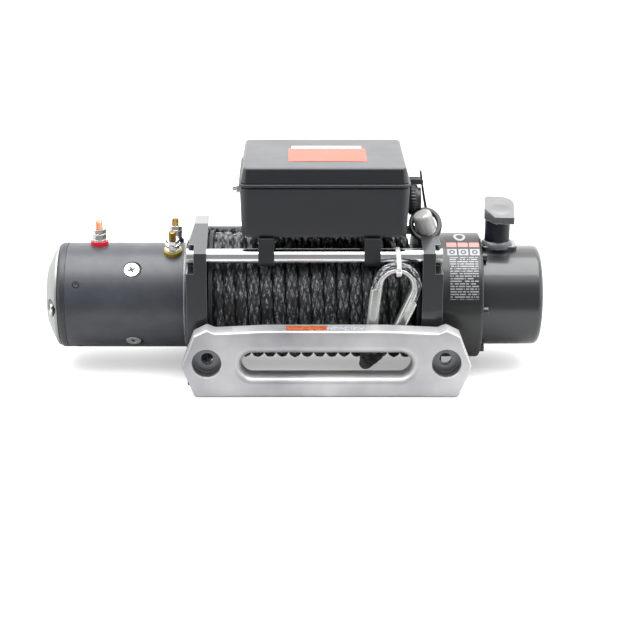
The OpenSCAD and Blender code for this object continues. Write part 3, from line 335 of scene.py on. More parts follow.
def lathe(profile: Array | list, turns: int, caps: bool = False) -> Skin:
    """Turns a profile round the local X axis.

    A point (x, r) of the profile becomes (x, r cos a, r sin a) for each angle a.

    Args:
        profile: Points (x, r) in order.
        turns: Steps round the axis.
        caps: Whether the first and the last ring are closed with a flat face.

    Returns:
        The surface.
    """
    x, r = np.asarray(profile, float).T[..., None]
    a = ring_angles(turns + 1)
    points = np.stack(np.broadcast_arrays(x, r * np.cos(a), r * np.sin(a)), 2)
    return Skin.grid(points, caps)


def sweep(path: Array, section: Array, side: Array, uv: Array | None = None) -> Skin:
    """Carries a section along a path and closes both ends.

    At each point of the path the section's first coordinate runs along the side direction, made
    square to the path, and its second along the path's direction crossed with that.

    Args:
        path: Points of the path.
        section: Points (a, b) of the section, for the whole path or for each of its points.
        side: Direction of the section's first coordinate.
        uv: The map, if it isn't the plain one.

    Returns:
        The surface.
    """
    along = unit(np.gradient(path, axis=0))
    side = np.broadcast_to(np.asarray(side, float), path.shape)
    side = unit(side - (side * along).sum(1, keepdims=True) * along)
    up = np.cross(along, side)
    section = np.broadcast_to(section, (len(path),) + section.shape[-2:])
    points = path[:, None] + section[..., :1] * side[:, None] + section[..., 1:2] * up[:, None]
    return Skin.grid(points, True, uv)


def rounded_box_ring(width: float, depth: float, radius: float, steps: int) -> Array:
    """Closed outline of a rectangle with round corners, anticlockwise.

    Args:
        width: Size along x.
        depth: Size along y.
        radius: Corner radius.
        steps: Points in each corner.

    Returns:
        Points (x, y), the last the same as the first.
    """
    w, d = width / 2, depth / 2
    return close_ring(round_corners([[w, -d], [w, d], [-w, d], [-w, -d]], radius, steps))


def stack(levels: list[tuple[Array, Array | float]]) -> Skin:
    """Joins outlines of equal point counts, one above the other, and closes both ends.

    Args:
        levels: Pairs of a closed outline (x, y) and its height, or one height for each point.

    Returns:
        The surface.
    """
    return Skin.grid(np.stack([at_height(ring, z) for ring, z in levels]), True)


def braid(along: Array, across: Array, strands: int = 6) -> Array:
    """Height of a braid's strands, from 0 in the gaps to 1 on top.

    Two sets of strands run round the rope in opposite turns. Their phases are the place along plus
    and minus the place around times the strand count. In each diamond where two cross, the one on
    top follows from whether the two whole phases add up to an even number, and its height is a sine
    across it and the root of a sine along it.

    Args:
        along: Place along the rope, in braid lengths.
        across: Place around the rope, from 0 to 1.
        strands: Strands in each set.

    Returns:
        Heights from 0 to 1.
    """
    p, q = along + strands * across, along - strands * across
    fp, fq = np.sin(math.pi * (p % 1)), np.sin(math.pi * (q % 1))
    even = (np.floor(p) + np.floor(q)) % 2 < 0.5
    return np.where(even, fp * np.sqrt(fq), fq * np.sqrt(fp))


def braided(run: Array, share: Array, pitch: float) -> tuple[Array, Array]:
    """Relief and map of a braided tube.

    Args:
        run: Distance along the rope of each ring.
        share: Place around the rope of each point in a ring, from 0 to 1.
        pitch: Length of one braid.

    Returns:
        Heights from 0 to 1, and the map: place around, then place along in braid lengths.
    """
    across, along = np.broadcast_arrays(share[None, :], run[:, None] / pitch)
    return braid(along, across), np.stack([across, along], 2)


# Materials


def linear(code: str) -> tuple[float, float, float, float]:
    """Turns an sRGB hex colour into the linear one that shaders take.

    Args:
        code: Such as "#1b1c1e".

    Returns:
        Red, green, blue and alpha.
    """
    c = np.array([int(code[i : i + 2], 16) for i in (1, 3, 5)]) / 255
    value = np.where(c <= 0.04045, c / 12.92, ((c + 0.055) / 1.055) ** 2.4)
    return (*value.tolist(), 1.0)


def add(tree: Tree, kind: str, inputs: dict[Any, Any] | None = None, **settings: Any) -> bpy.types.Node:
    """Adds one node with its settings, values and links.

    Args:
        tree: Tree that gets the node.
        kind: Blender's name for the node, past its first word, ShaderNode.
        inputs: For each input, a value, or the socket or signal that feeds it.
        **settings: The node's own settings.

    Returns:
        The node.
    """
    node = tree.nodes.new("ShaderNode" + kind)
    for key, value in settings.items():
        setattr(node, key, value)
    for key, value in (inputs or {}).items():
        value = getattr(value, "socket", value)
        if isinstance(value, Socket):
            tree.links.new(value, node.inputs[key])
        else:
            node.inputs[key].default_value = value
    return node


@dataclass(frozen=True)
class Signal:
    """A number that runs through a node tree, where plain arithmetic on it adds a node a step."""

    tree: Tree
    socket: Socket

    def into(self, kind: str, *others: "Signal | float", **settings: Any) -> "Signal":
        """Leads the number into the first input of a new node.

        Args:
            kind: The node's name, as add takes it.
            *others: What its next inputs take.
            **settings: The node's own settings.

        Returns:
            The node's first output.
        """
        node = add(self.tree, kind, dict(enumerate((self, *others))), **settings)
        return Signal(self.tree, node.outputs[0])

    def __add__(self, other: "Signal | float") -> "Signal":
        """The sum of two numbers."""
        return self.into(MATHS, other, operation="ADD")

    def __sub__(self, other: "Signal | float") -> "Signal":
        """The number less another."""
        return self.into(MATHS, other, operation="SUBTRACT")

    def __mul__(self, other: "Signal | float") -> "Signal":
        """The product of two numbers."""
        return self.into(MATHS, other, operation="MULTIPLY")

    def __pow__(self, power: float) -> "Signal":
        """The number to a power."""
        return self.into(MATHS, power, operation="POWER")

    def __lt__(self, other: "Signal | float") -> "Signal":
        """1 where the number is less than another, else 0."""
        return self.into(MATHS, other, operation="LESS_THAN")

    def __gt__(self, other: "Signal | float") -> "Signal":
        """1 where the number is more than another, else 0."""
        return self.into(MATHS, other, operation="GREATER_THAN")

    def __abs__(self) -> "Signal":
        """The number without its sign."""
        return self.into(MATHS, operation="ABSOLUTE")

    def whole(self) -> "Signal":
        """The number rounded down."""
        return self.into(MATHS, operation="FLOOR")

    def part(self) -> "Signal":
        """What the number has past the one rounded down."""
        return self.into(MATHS, operation="FRACT")

    def near(self, middle: float, reach: float) -> "Signal":
        """1 where the number lies less than a reach from a middle, else 0."""
        return abs(self - middle) < reach

    def slant(self, other: "Signal") -> "Signal":
        """The long side of a right triangle whose short sides are two numbers."""
        return (self * self + other * other) ** 0.5


class Grain(Enum):
    """How a surface's fine relief was made."""

    CAST = "cast"
    SPRAYED = "sprayed"
    MOULDED = "moulded"
    BRUSHED = "brushed"


@dataclass(frozen=True)
class Finish:
    """A material: its colour, gloss, relief and wear, with lighter edges that are partly wear and partly
    painted highlight, with pattern sizes in millimetres.
    """

    name: str
    colour: str
    roughness: float
    metallic: float = 0.0
    grain: Grain = Grain.SPRAYED
    grain_mm: float = 1.0
    relief_mm: float = 0.02
    mottle: str = ""
    mottle_mm: float = 40.0
    rough_spread: float = 0.08
    # Colour of the lightened edges: partly wear, partly painted highlight
    edge: str = ""
    edge_mm: float = 0.6
    brush: tuple[float, float, float] = (1.0, 1.0, 1.0)
    coat: float = 0.0
    ior: float = 1.5
    transmission: float = 0.0
    subsurface: float = 0.0

    def material(self) -> bpy.types.Material:
        """Makes the material once, and gives the same one each time after.

        Returns:
            The material.
        """
        made = bpy.data.materials.get(self.name)
        if made is None:
            made = bpy.data.materials.new(self.name)
            made.use_nodes = True
            made.diffuse_color = linear(self.colour)
            made.node_tree.nodes.clear()
            self.fill(made.node_tree)
        return made

    def fill(self, tree: Tree) -> None:
        """Lays out the shader: mottled colour with lighter edges, partly wear and partly painted highlight,
        uneven gloss and fine relief.

        Args:
            tree: The material's empty tree.
        """
        values: dict[str, Any] = {"Base Color": linear(self.colour), "Roughness": self.roughness,
                                  "Metallic": self.metallic, "Coat Weight": self.coat,
                                  "Coat Roughness": 0.12, "Transmission Weight": self.transmission,
                                  "Subsurface Weight": self.subsurface, "Subsurface Scale": 0.002}
        if self.metallic < 0.5:
            values["IOR"] = self.ior
        shader = add(tree, "BsdfPrincipled", values)
        add(tree, "OutputMaterial", {"Surface": shader.outputs[0]})
        place = add(tree, "TexCoord").outputs["Object"]
        broad = add(tree, "TexNoise", {"Vector": place, "Scale": 1 / (self.mottle_mm * MM),
                                       "Detail": 4.0, "Roughness": 0.6})
        rounded = add(tree, "Bevel", {"Radius": self.edge_mm * MM}, samples=6).outputs[0]
        tree.links.new(self.normal(tree, place, rounded), shader.inputs["Normal"])
        half = self.rough_spread / 2
        gloss = Signal(tree, broad.outputs[0]).into(RANGE, 0.3, 0.7, self.roughness - half,
                                                    self.roughness + half)
        tree.links.new(gloss.socket, shader.inputs["Roughness"])
        colour = self.tint(tree, broad.outputs[0])
        # Lighter edges: partly wear, partly painted highlight
        if self.edge:
            colour = self.wear_and_highlight_edges(tree, colour, rounded)
        tree.links.new(colour, shader.inputs["Base Color"])

    def tint(self, tree: Tree, broad: Socket) -> Socket:
        """Mixes the colour with its slightly different mottle.

        Args:
            tree: The material's tree.
            broad: A broad noise.

        Returns:
            The colour.
        """
        ramp = add(tree, "ValToRGB", {"Fac": broad})
        ramp.color_ramp.elements[0].position, ramp.color_ramp.elements[1].position = 0.35, 0.65
        ramp.color_ramp.elements[0].color = linear(self.mottle or self.colour)
        ramp.color_ramp.elements[1].color = linear(self.colour)
        return ramp.outputs[0]

    def wear_and_highlight_edges(self, tree: Tree, colour: Socket, rounded: Socket) -> Socket:
        """Lightens the edges, where the rounded direction leaves the real one: partly wear, partly painted
        highlight.

        Args:
            tree: The material's tree.
            colour: The colour so far.
            rounded: The surface's direction with its edges seen as rounded.

        Returns:
            The colour with its edges.
        """
        geometry = add(tree, "NewGeometry")
        cosine = add(tree, "VectorMath", {0: rounded, 1: geometry.outputs["Normal"]}, operation="DOT_PRODUCT")
        share = Signal(tree, cosine.outputs["Value"]).into(RANGE, 0.995, 0.9, 0.0, 1.0)
        mix = add(tree, "Mix", {"Factor": share, 6: colour, 7: linear(self.edge)}, data_type="RGBA")
        return mix.outputs[2]

    def normal(self, tree: Tree, place: Socket, rounded: Socket) -> Socket:
        """Gives the surface its rounded edges and the relief of its making.

        Args:
            tree: The material's tree.
            place: Object coordinates.
            rounded: The surface's direction with its edges seen as rounded.

        Returns:
            The surface's direction.
        """
        drawn = add(tree, "Mapping", {"Vector": place, "Scale": self.brush})
        fine = add(tree, "TexNoise", {"Vector": drawn.outputs[0], "Scale": 1 / (self.grain_mm * MM),
                                      "Detail": 3.0, "Roughness": 0.55})
        height = Signal(tree, fine.outputs[0])
        if self.grain in (Grain.CAST, Grain.MOULDED):
            pits = add(tree, "TexVoronoi", {"Vector": place, "Scale": 1 / (self.grain_mm * 1.4 * MM)})
            height = height + Signal(tree, pits.outputs["Distance"])
        bump = add(tree, "Bump", {"Height": height, "Distance": self.relief_mm * MM,
                                  "Strength": 0.6, "Normal": rounded})
        return bump.outputs[0]


@dataclass(frozen=True)
class RopeFinish(Finish):
    """Braided fibre: dark strands with painted glints along them, on the rope's own map."""

    painted_glint: str = "#8d9296"
    strands: int = 6

    def fill(self, tree: Tree) -> None:
        """Lays out the braid: the map's first number runs round the rope and its second along it.

        The two phases are the place along plus and minus the place around times the strand count,
        as in the shape's own relief, and fine threads run along whichever strand is on top.

        Args:
            tree: The material's empty tree.
        """
        shader = add(tree, "BsdfPrincipled", {"Roughness": self.roughness, "IOR": 1.5,
                                              "Sheen Weight": 0.05})
        add(tree, "OutputMaterial", {"Surface": shader.outputs[0]})
        coordinates = add(tree, "TexCoord")
        parts = add(tree, "SeparateXYZ", {0: coordinates.outputs["UV"]})
        turned_place = Signal(tree, parts.outputs[0]) * float(self.strands)
        along = Signal(tree, parts.outputs[1])
        p, q = along + turned_place, along - turned_place
        sine_p, sine_q = ((phase.part() * math.pi).into(MATHS, operation="SINE") for phase in (p, q))
        odd = abs((p.whole() + q.whole()).into(MATHS, 2.0, operation="MODULO"))
        across, endways, phase, other = (
            Signal(tree, add(tree, "Mix", {0: odd, 2: even, 3: uneven}).outputs[0])
            for even, uneven in ((sine_p, sine_q), (sine_q, sine_p), (p, q), (q, p)))
        height = across * endways**0.5
        # Threads: nine stripes across each strand, broken up by a noise drawn out along it
        stripes = add(tree, "CombineXYZ", {0: phase * 9.0, 1: other * 2.6})
        noise = add(tree, "TexNoise", {"Vector": stripes.outputs[0], "Scale": 1.0, "Detail": 2.0})
        threads = Signal(tree, noise.outputs[0])
        fibre = threads.into(RANGE, 0.47, 0.63, 0.02, 0.85)
        # Each strand that shows has a brightness of its own, under patches about 16 mm wide
        cell = add(tree, "CombineXYZ", {0: p.whole(), 1: q.whole()})
        lot = add(tree, "TexWhiteNoise", {"Vector": cell.outputs[0]}, noise_dimensions="3D")
        patches = add(tree, "TexNoise", {"Vector": coordinates.outputs["Object"], "Scale": 62.0,
                                         "Detail": 3.0})
        # The painted glint: a paler colour on the strand on top, standing in for light caught by its fibres
        painted_glint = height * fibre * (Signal(tree, lot.outputs["Value"]) * 1.2 + 0.3)
        painted_glint = painted_glint * (Signal(tree, patches.outputs[0]) ** 2.5 * 12.0)
        ramp = add(tree, "ValToRGB", {"Fac": painted_glint})
        ends = zip(ramp.color_ramp.elements, ((0.03, self.colour), (0.8, self.painted_glint)))
        for element, (position, code) in ends:
            element.position, element.color = position, linear(code)
        ramp.color_ramp.elements.new(0.3).color = linear(self.mottle)
        tree.links.new(ramp.outputs[0], shader.inputs["Base Color"])
        bump = add(tree, "Bump", {"Height": height + threads * 0.35, "Strength": 0.8,
                                  "Distance": self.relief_mm * MM})
        tree.links.new(bump.outputs[0], shader.inputs["Normal"])


@dataclass(frozen=True)
class PrintedLabel(Finish):
    """A printed sticker: rows of short plain bars, three tiles, a band and a hoop, on the piece's own map."""

    ink: str = "#e8e8e6"
    rows: int = 30
    top_block: str = "#c0504a"

    def tint(self, tree: Tree, broad: Socket) -> Socket:
        """Draws the print, with u the map's place across the label and v its place up.

        The lower half has rows of bars: u is cut in 34 cells, one in five is left blank, and each
        row ends at a place of its own. Above them stand three tiles with a round gap in each, a
        band of three blocks, and a hoop. A hoop is where the distance from its middle is near its
        radius.

        Args:
            tree: The material's tree.
            broad: A broad noise.

        Returns:
            The colour.
        """
        colour = super().tint(tree, broad)
        uv = add(tree, "TexCoord").outputs["UV"]
        parts = add(tree, "SeparateXYZ", {0: uv})
        u, v = Signal(tree, parts.outputs[0]), Signal(tree, parts.outputs[1])
        row = v * float(self.rows)
        cells = (add(tree, "CombineXYZ", {0: row.whole()}),
                 add(tree, "CombineXYZ", {0: (u * 34.0).whole(), 1: row.whole()}))
        length, cell = (Signal(tree, add(tree, "TexWhiteNoise", {"Vector": spot.outputs[0]},
                                         noise_dimensions="3D").outputs["Value"]) for spot in cells)
        end = (length**4.0 * -0.6 + 1.0).into(MATHS, 0.91, operation="MINIMUM")
        bars = row.part().near(0.5, 0.24) * (cell > 0.2) * (u > 0.08) * (u < end) * (v > 0.04) * (v < 0.49)
        column = abs((u * 3.0).part() - 0.5)
        from_tile = (column * 12.0).slant((v - 0.555) * 108.0)
        tiles = v.near(0.555, 0.042) * (column < 0.42) * (abs(from_tile - 2.3) > 0.8)
        hoop = (u - 0.44).slant((v - 0.83) * 1.9).near(0.14, 0.035)
        blocks = v.near(0.665, 0.036) * (column < 0.44)
        inked = bars.into(MATHS, tiles, operation="MAXIMUM").into(MATHS, hoop, operation="MAXIMUM")
        for mask, code in ((inked, self.ink), (blocks, self.top_block)):
            colour = add(tree, "Mix", {"Factor": mask, 6: colour, 7: linear(code)},
                         data_type="RGBA").outputs[2]
        return colour


# Powder coat on cast aluminium: a fine even orange peel that spreads each highlight wide
CASTING = Finish("powder_coated_casting", "#1b1d20", 0.34, grain=Grain.CAST, grain_mm=1.1, relief_mm=0.04,
                 mottle="#1f2225", edge="#8a8d90", edge_mm=0.7, coat=1.0)
# Thin dull paint on the box's folded steel legs and on the drum's flanges, darker than the castings
BRACKET = Finish("dull_painted_steel", "#1b1d1f", 0.5, grain=Grain.SPRAYED, grain_mm=1.2, relief_mm=0.02,
                 mottle="#202224", edge="#4b4e51", edge_mm=0.5)
# The large gear housing: the same coat left dull, its colour darker than the end housing's as painted shade,
# so that its front stays nearly black
GEAR_HOUSING = Finish("dull_powder_housing_painted_shade", "#131517", 0.44, grain=Grain.CAST, grain_mm=1.2, relief_mm=0.02,
                      mottle="#16181a", edge="#8e9194", edge_mm=0.6, coat=0.35)
# Stoved paint of the motor's end ring, darker than the can
RING_PAINT = Finish("stoved_ring_paint", "#24272b", 0.4, grain=Grain.SPRAYED, grain_mm=1.6, relief_mm=0.015,
                    mottle="#282b2f", edge="#5f6266", edge_mm=0.5)
# The same powder on the end housing, thicker and glossier: a wide bright band along the top
HOUSING = Finish("gloss_powder_housing", "#1b1d20", 0.34, grain=Grain.CAST, grain_mm=1.3, relief_mm=0.02,
                 mottle="#1f2124", edge="#6b6e71", edge_mm=0.6, coat=0.6)
# Cast collar under the clutch stem: a middle grey with pale edges, both painted highlight on a black casting
COLLAR = Finish("collar_painted_highlight", "#5c6163", 0.3, metallic=0.2, grain=Grain.CAST, grain_mm=0.8, relief_mm=0.02,
                mottle="#65696c", edge="#c3c8c9", edge_mm=0.7)
# Sprayed enamel on a steel tube: smoother than the castings, with a long soft gradient
MOTOR_PAINT = Finish("sprayed_black_enamel", "#303339", 0.36, grain=Grain.SPRAYED, grain_mm=1.6,
                     relief_mm=0.015, mottle="#3a3d43", edge="#606368", edge_mm=0.4, mottle_mm=22)
# Bare die-cast zinc alloy, tumbled: pale, dull and slightly uneven
END_CAP = Finish("tumbled_die_casting", "#9b9c9b", 0.42, metallic=0.55, grain=Grain.CAST, grain_mm=0.8,
                 relief_mm=0.02, mottle="#909290", edge="#b4b5b4")
# Hard chrome on ground bar: mirror bands with a faint lengthwise grind
CHROME = Finish("ground_chrome", "#e6e8ea", 0.09, metallic=1.0, grain=Grain.BRUSHED, grain_mm=0.4,
                relief_mm=0.004, brush=(0.05, 1.0, 1.0), rough_spread=0.04, mottle="#dfe1e4")
# Zinc plate on pressed steel: bright, slightly cloudy
ZINC = Finish("bright_zinc_plate", "#d6d7d5", 0.26, metallic=1.0, grain=Grain.SPRAYED, grain_mm=1.0,
              relief_mm=0.01, mottle="#c6c8c6", edge="#f0f0ee", edge_mm=0.4, mottle_mm=6)
# Painted shade: an almost matt blue-black laid in the cap's notches, the screws' countersink gaps and cross
# recesses, and round the can's dimples
PAINTED_SHADE_BLACK = Finish("painted_shade_black", "#202225", 0.4, metallic=0.4, grain=Grain.CAST, grain_mm=0.6,
                     relief_mm=0.01, mottle="#18191b", edge="#44474a", edge_mm=0.4)
# Sintered bronze bushes: dull gold with open pores
BRONZE = Finish("sintered_bronze", "#9a7a45", 0.5, metallic=1.0, grain=Grain.CAST, grain_mm=0.4,
                relief_mm=0.02, mottle="#86683a")
# Rolled iron of the poles: dull grey with a dark skin
IRON = Finish("rolled_iron", "#626366", 0.55, metallic=1.0, grain=Grain.SPRAYED, grain_mm=2.0,
              mottle="#4e4f52")
# Enamelled copper strip of the windings: orange-brown under clear varnish
COPPER = Finish("enamelled_copper", "#b4693c", 0.32, metallic=1.0, grain=Grain.BRUSHED, grain_mm=1.0,
                relief_mm=0.05, brush=(1.0, 1.0, 0.1), mottle="#9c5630", coat=0.3)
# Phenolic resin of the brush ring: brown, satin, faintly speckled
RESIN = Finish("phenolic_resin", "#3d3128", 0.45, grain=Grain.MOULDED, grain_mm=0.8, relief_mm=0.01,
               mottle="#4a3b30", mottle_mm=5)
# Machined steel of gears and shafts: grey with turning marks
GEAR_STEEL = Finish("machined_steel", "#9a9da1", 0.33, metallic=1.0, grain=Grain.BRUSHED, grain_mm=0.6,
                    relief_mm=0.01, brush=(1.0, 0.2, 0.2), mottle="#8b8e92", edge="#c4c6c9", edge_mm=0.3)
# Washers under the terminals: glossy moulded nylon, and a steel one with a thin yellow passivate
RED_NYLON = Finish("red_moulded_nylon", "#d01f31", 0.3, grain=Grain.MOULDED, grain_mm=0.7, relief_mm=0.01,
                   mottle="#b81828", mottle_mm=8, edge="#e8515e", edge_mm=0.5, subsurface=0.08)
YELLOW_STEEL = Finish("yellow_passivated_washer", "#a08829", 0.32, metallic=0.35, grain=Grain.MOULDED,
                      grain_mm=0.7, relief_mm=0.01, mottle="#967c22", mottle_mm=6, edge="#e0cf78",
                      edge_mm=0.5)
BLACK_NYLON = Finish("black_moulded_nylon", "#1a1b1c", 0.35, grain=Grain.MOULDED, grain_mm=0.7,
                     relief_mm=0.01, mottle="#222325", mottle_mm=8, edge="#3a3c3e", edge_mm=0.5)
# Brass and copper studs: warm metal with bright thread crests
BRASS = Finish("turned_brass", "#8d723c", 0.28, metallic=1.0, grain=Grain.SPRAYED, grain_mm=0.5,
               relief_mm=0.01, mottle="#6d5528", mottle_mm=3, edge="#b79a5c", edge_mm=0.3)
RED_COPPER = Finish("bare_copper", "#d99c7e", 0.3, metallic=1.0, grain=Grain.SPRAYED, grain_mm=0.5,
                    relief_mm=0.01, mottle="#bf6d48", mottle_mm=4, edge="#f3b697", edge_mm=0.3)
# Anodised stem of the clutch: blue-black satin metal
CLUTCH_METAL = Finish("black_anodised_stem", "#181c25", 0.3, metallic=0.25, grain=Grain.BRUSHED, grain_mm=0.5,
                      relief_mm=0.006, brush=(1.0, 1.0, 0.15), mottle="#1d222d", edge="#3f444f", edge_mm=0.5)
# Painted casting of the knob, and the lip of the motor's seam: smooth satin, with pale edges that are painted
# highlight
KNOB = Finish("satin_painted_knob", "#3f4143", 0.3, grain=Grain.SPRAYED, grain_mm=1.2, relief_mm=0.015,
              mottle="#4a4c4f", edge="#d2d5d6", edge_mm=0.8, coat=1.0)
# ABS box: fine moulded leather grain, slightly grey along its edges
BOX_PLASTIC = Finish("moulded_abs", "#2b2c2f", 0.4, grain=Grain.MOULDED, grain_mm=0.9, relief_mm=0.03,
                     mottle="#2c2e31", edge="#5a5d61", edge_mm=0.8, mottle_mm=60)
# The lid's plastic has a polished skin: a pale top, a nearly black front
LID_PLASTIC = Finish("polished_abs_lid", "#16181c", 0.36, grain=Grain.MOULDED, grain_mm=0.9, relief_mm=0.02,
                     mottle="#1b1d21", edge="#4a4d52", edge_mm=0.8, mottle_mm=60, coat=0.22)
# Moulded rubber: deep black, a little gloss on its skin
RUBBER = Finish("moulded_rubber", "#131415", 0.34, grain=Grain.MOULDED, grain_mm=1.0, relief_mm=0.02,
                mottle="#1a1b1c", edge="#2c2e30", edge_mm=0.5)
# Polished stainless sheet: bright, drawn marks along the bend, and white edges that are painted highlight
STAINLESS = Finish("polished_stainless", "#cfd1ce", 0.27, metallic=0.8, grain=Grain.BRUSHED, grain_mm=0.5,
                   relief_mm=0.01, brush=(1.0, 0.2, 0.3), mottle="#b9bbb8", edge="#ffffff", edge_mm=0.9)
# Natural nylon tie: milky, light passes through its thin parts
NYLON = Finish("natural_nylon", "#e9e9e4", 0.3, grain=Grain.MOULDED, grain_mm=0.5, relief_mm=0.01,
               mottle="#dfdfd9", transmission=0.25, subsurface=0.25, edge="#f7f7f4", edge_mm=0.3)
# Satin machined aluminium: pale, fine lengthwise brushing, soft broad highlights
ALUMINIUM = Finish("satin_machined_aluminium", "#c6c5c7", 0.4, metallic=0.6, grain=Grain.BRUSHED,
                   grain_mm=0.45, relief_mm=0.012, brush=(0.12, 1.0, 1.0), mottle="#9a9a9e", edge="#f0f0f2",
                   edge_mm=0.7, mottle_mm=130)
# The bolt cups of the fairlead: the same aluminium, darker as painted shade in the recesses, with an even
# sandy grain
RECESS = Finish("aluminium_painted_shade", "#838487", 0.36, metallic=0.6, grain=Grain.CAST, grain_mm=0.9,
                relief_mm=0.03, mottle="#707174", edge="#c9cacb", edge_mm=0.5)
# Braided high-modulus fibre: nearly black, with fine grey painted glints along its strands
ROPE = RopeFinish("braided_fibre_rope", "#0d0e10", 0.4, mottle="#15181a", painted_glint="#777b7f", relief_mm=0.45)
# The same rope at its working end, with paler threads as painted light where it lies out in the open
ROPE_IN_LIGHT = RopeFinish("fibre_rope_painted_light", "#141618", 0.4, mottle="#31363a", painted_glint="#c3c8cb", relief_mm=0.45)
# Vinyl on the fairlead's top edge: orange, flecked with small dark spots
ORANGE_STRIP = Finish("printed_orange_strip", "#c85f2a", 0.4, mottle="#4a2f22", mottle_mm=2.6,
                      grain=Grain.SPRAYED, grain_mm=2.0, relief_mm=0.006)
# Vinyl on the lid: an even orange, and an even white
LID_LABEL = Finish("orange_vinyl_label", "#ee4426", 0.34, mottle="#e93f22", grain=Grain.SPRAYED, grain_mm=2.0,
                   relief_mm=0.006)
WHITE_STRIP = Finish("white_vinyl_strip", "#f1efec", 0.34, mottle="#e9e7e4", grain=Grain.SPRAYED,
                     grain_mm=2.0, relief_mm=0.006)
# The pale half of the fairlead's vinyl: grey, flecked with small dark spots
GREY_STRIP = Finish("grey_vinyl_strip", "#b9bbbd", 0.34, mottle="#4d5054", mottle_mm=2.4, grain=Grain.SPRAYED,
                    grain_mm=2.0, relief_mm=0.006)
# Glossy grey moulded cup of the dust cap
CAP_SKIN = Finish("glossy_grey_rubber", "#adaeac", 0.14, grain=Grain.MOULDED, grain_mm=1.2, relief_mm=0.008,
                  mottle="#989997", edge="#c0c1c0", edge_mm=0.5, coat=1.0)
# Printed polyester on the gear housing: near black, with grey bars and a red band, pale partly as painted
# highlight where the housing's top catches the light
HOUSING_LABEL = PrintedLabel("ruled_polyester_label", "#1d1f20", 0.3, mottle="#202224", grain=Grain.SPRAYED,
                             grain_mm=2.0, relief_mm=0.004, ink="#8f9292", rows=38, top_block="#c47d77")

NODE_FINISHES: dict[Finish, tuple[str, ...]] = {
    CASTING: ("motor_support", "gearbox_support", "clutch_base"),
    BRACKET: ("drum", "left_box_bracket", "right_box_bracket"),
    HOUSING: ("end_housing", "housing_screws"),
    GEAR_HOUSING: ("gear_housing",),
    MOTOR_PAINT: ("motor_can",),
    RING_PAINT: ("motor_end_ring",),
    END_CAP: ("motor_end_cap",),
    CHROME: ("front_tie_bar", "rear_tie_bar"),
    ZINC: ("tie_bar_bolts", "foot_nuts", "motor_screws", "terminal_nuts", "box_screws"),
    BRONZE: ("drum_bushes",),
    IRON: ("pole_shoes", "armature"),
    COPPER: ("field_coils",),
    RESIN: ("brush_gear",),
    GEAR_STEEL: ("shaft_bearings", "ring_gear_1", "ring_gear_2", "ring_gear_3", "carrier_1", "carrier_2",
                 "carrier_3", "planet_1a", "planet_1b", "planet_1c", "planet_2a", "planet_2b", "planet_2c",
                 "planet_3a", "planet_3b", "planet_3c", "drive_shaft"),
    RED_NYLON: ("red_terminal_base",),
    YELLOW_STEEL: ("yellow_terminal_base",),
    BLACK_NYLON: ("black_terminal_base", "contactor"),
    BRASS: ("terminal_studs",),
    CLUTCH_METAL: ("clutch_stem",),
    KNOB: ("clutch_knob",),
    BOX_PLASTIC: ("box_base", "remote_socket"),
    LID_PLASTIC: ("box_lid",),
    RUBBER: ("socket_cap",),
    STAINLESS: ("thimble",),
    NYLON: ("cable_tie",),
    ALUMINIUM: ("fairlead",),
    ROPE: ("rope_core", "rope_winding", "rope_eye", "rope_splice", "rope_tail"),
}


def dress_nodes(nodes: dict[str, Piece]) -> None:
    """Gives each CAD node its finish.

    Args:
        nodes: The CAD nodes by name.
    """
    for finish, names in NODE_FINISHES.items():
        for name in names:
            mesh = nodes[name].data
            for k in range(max(1, len(mesh.materials))):
                if k < len(mesh.materials):
                    mesh.materials[k] = finish.material()
                else:
                    mesh.materials.append(finish.material())


# Studio


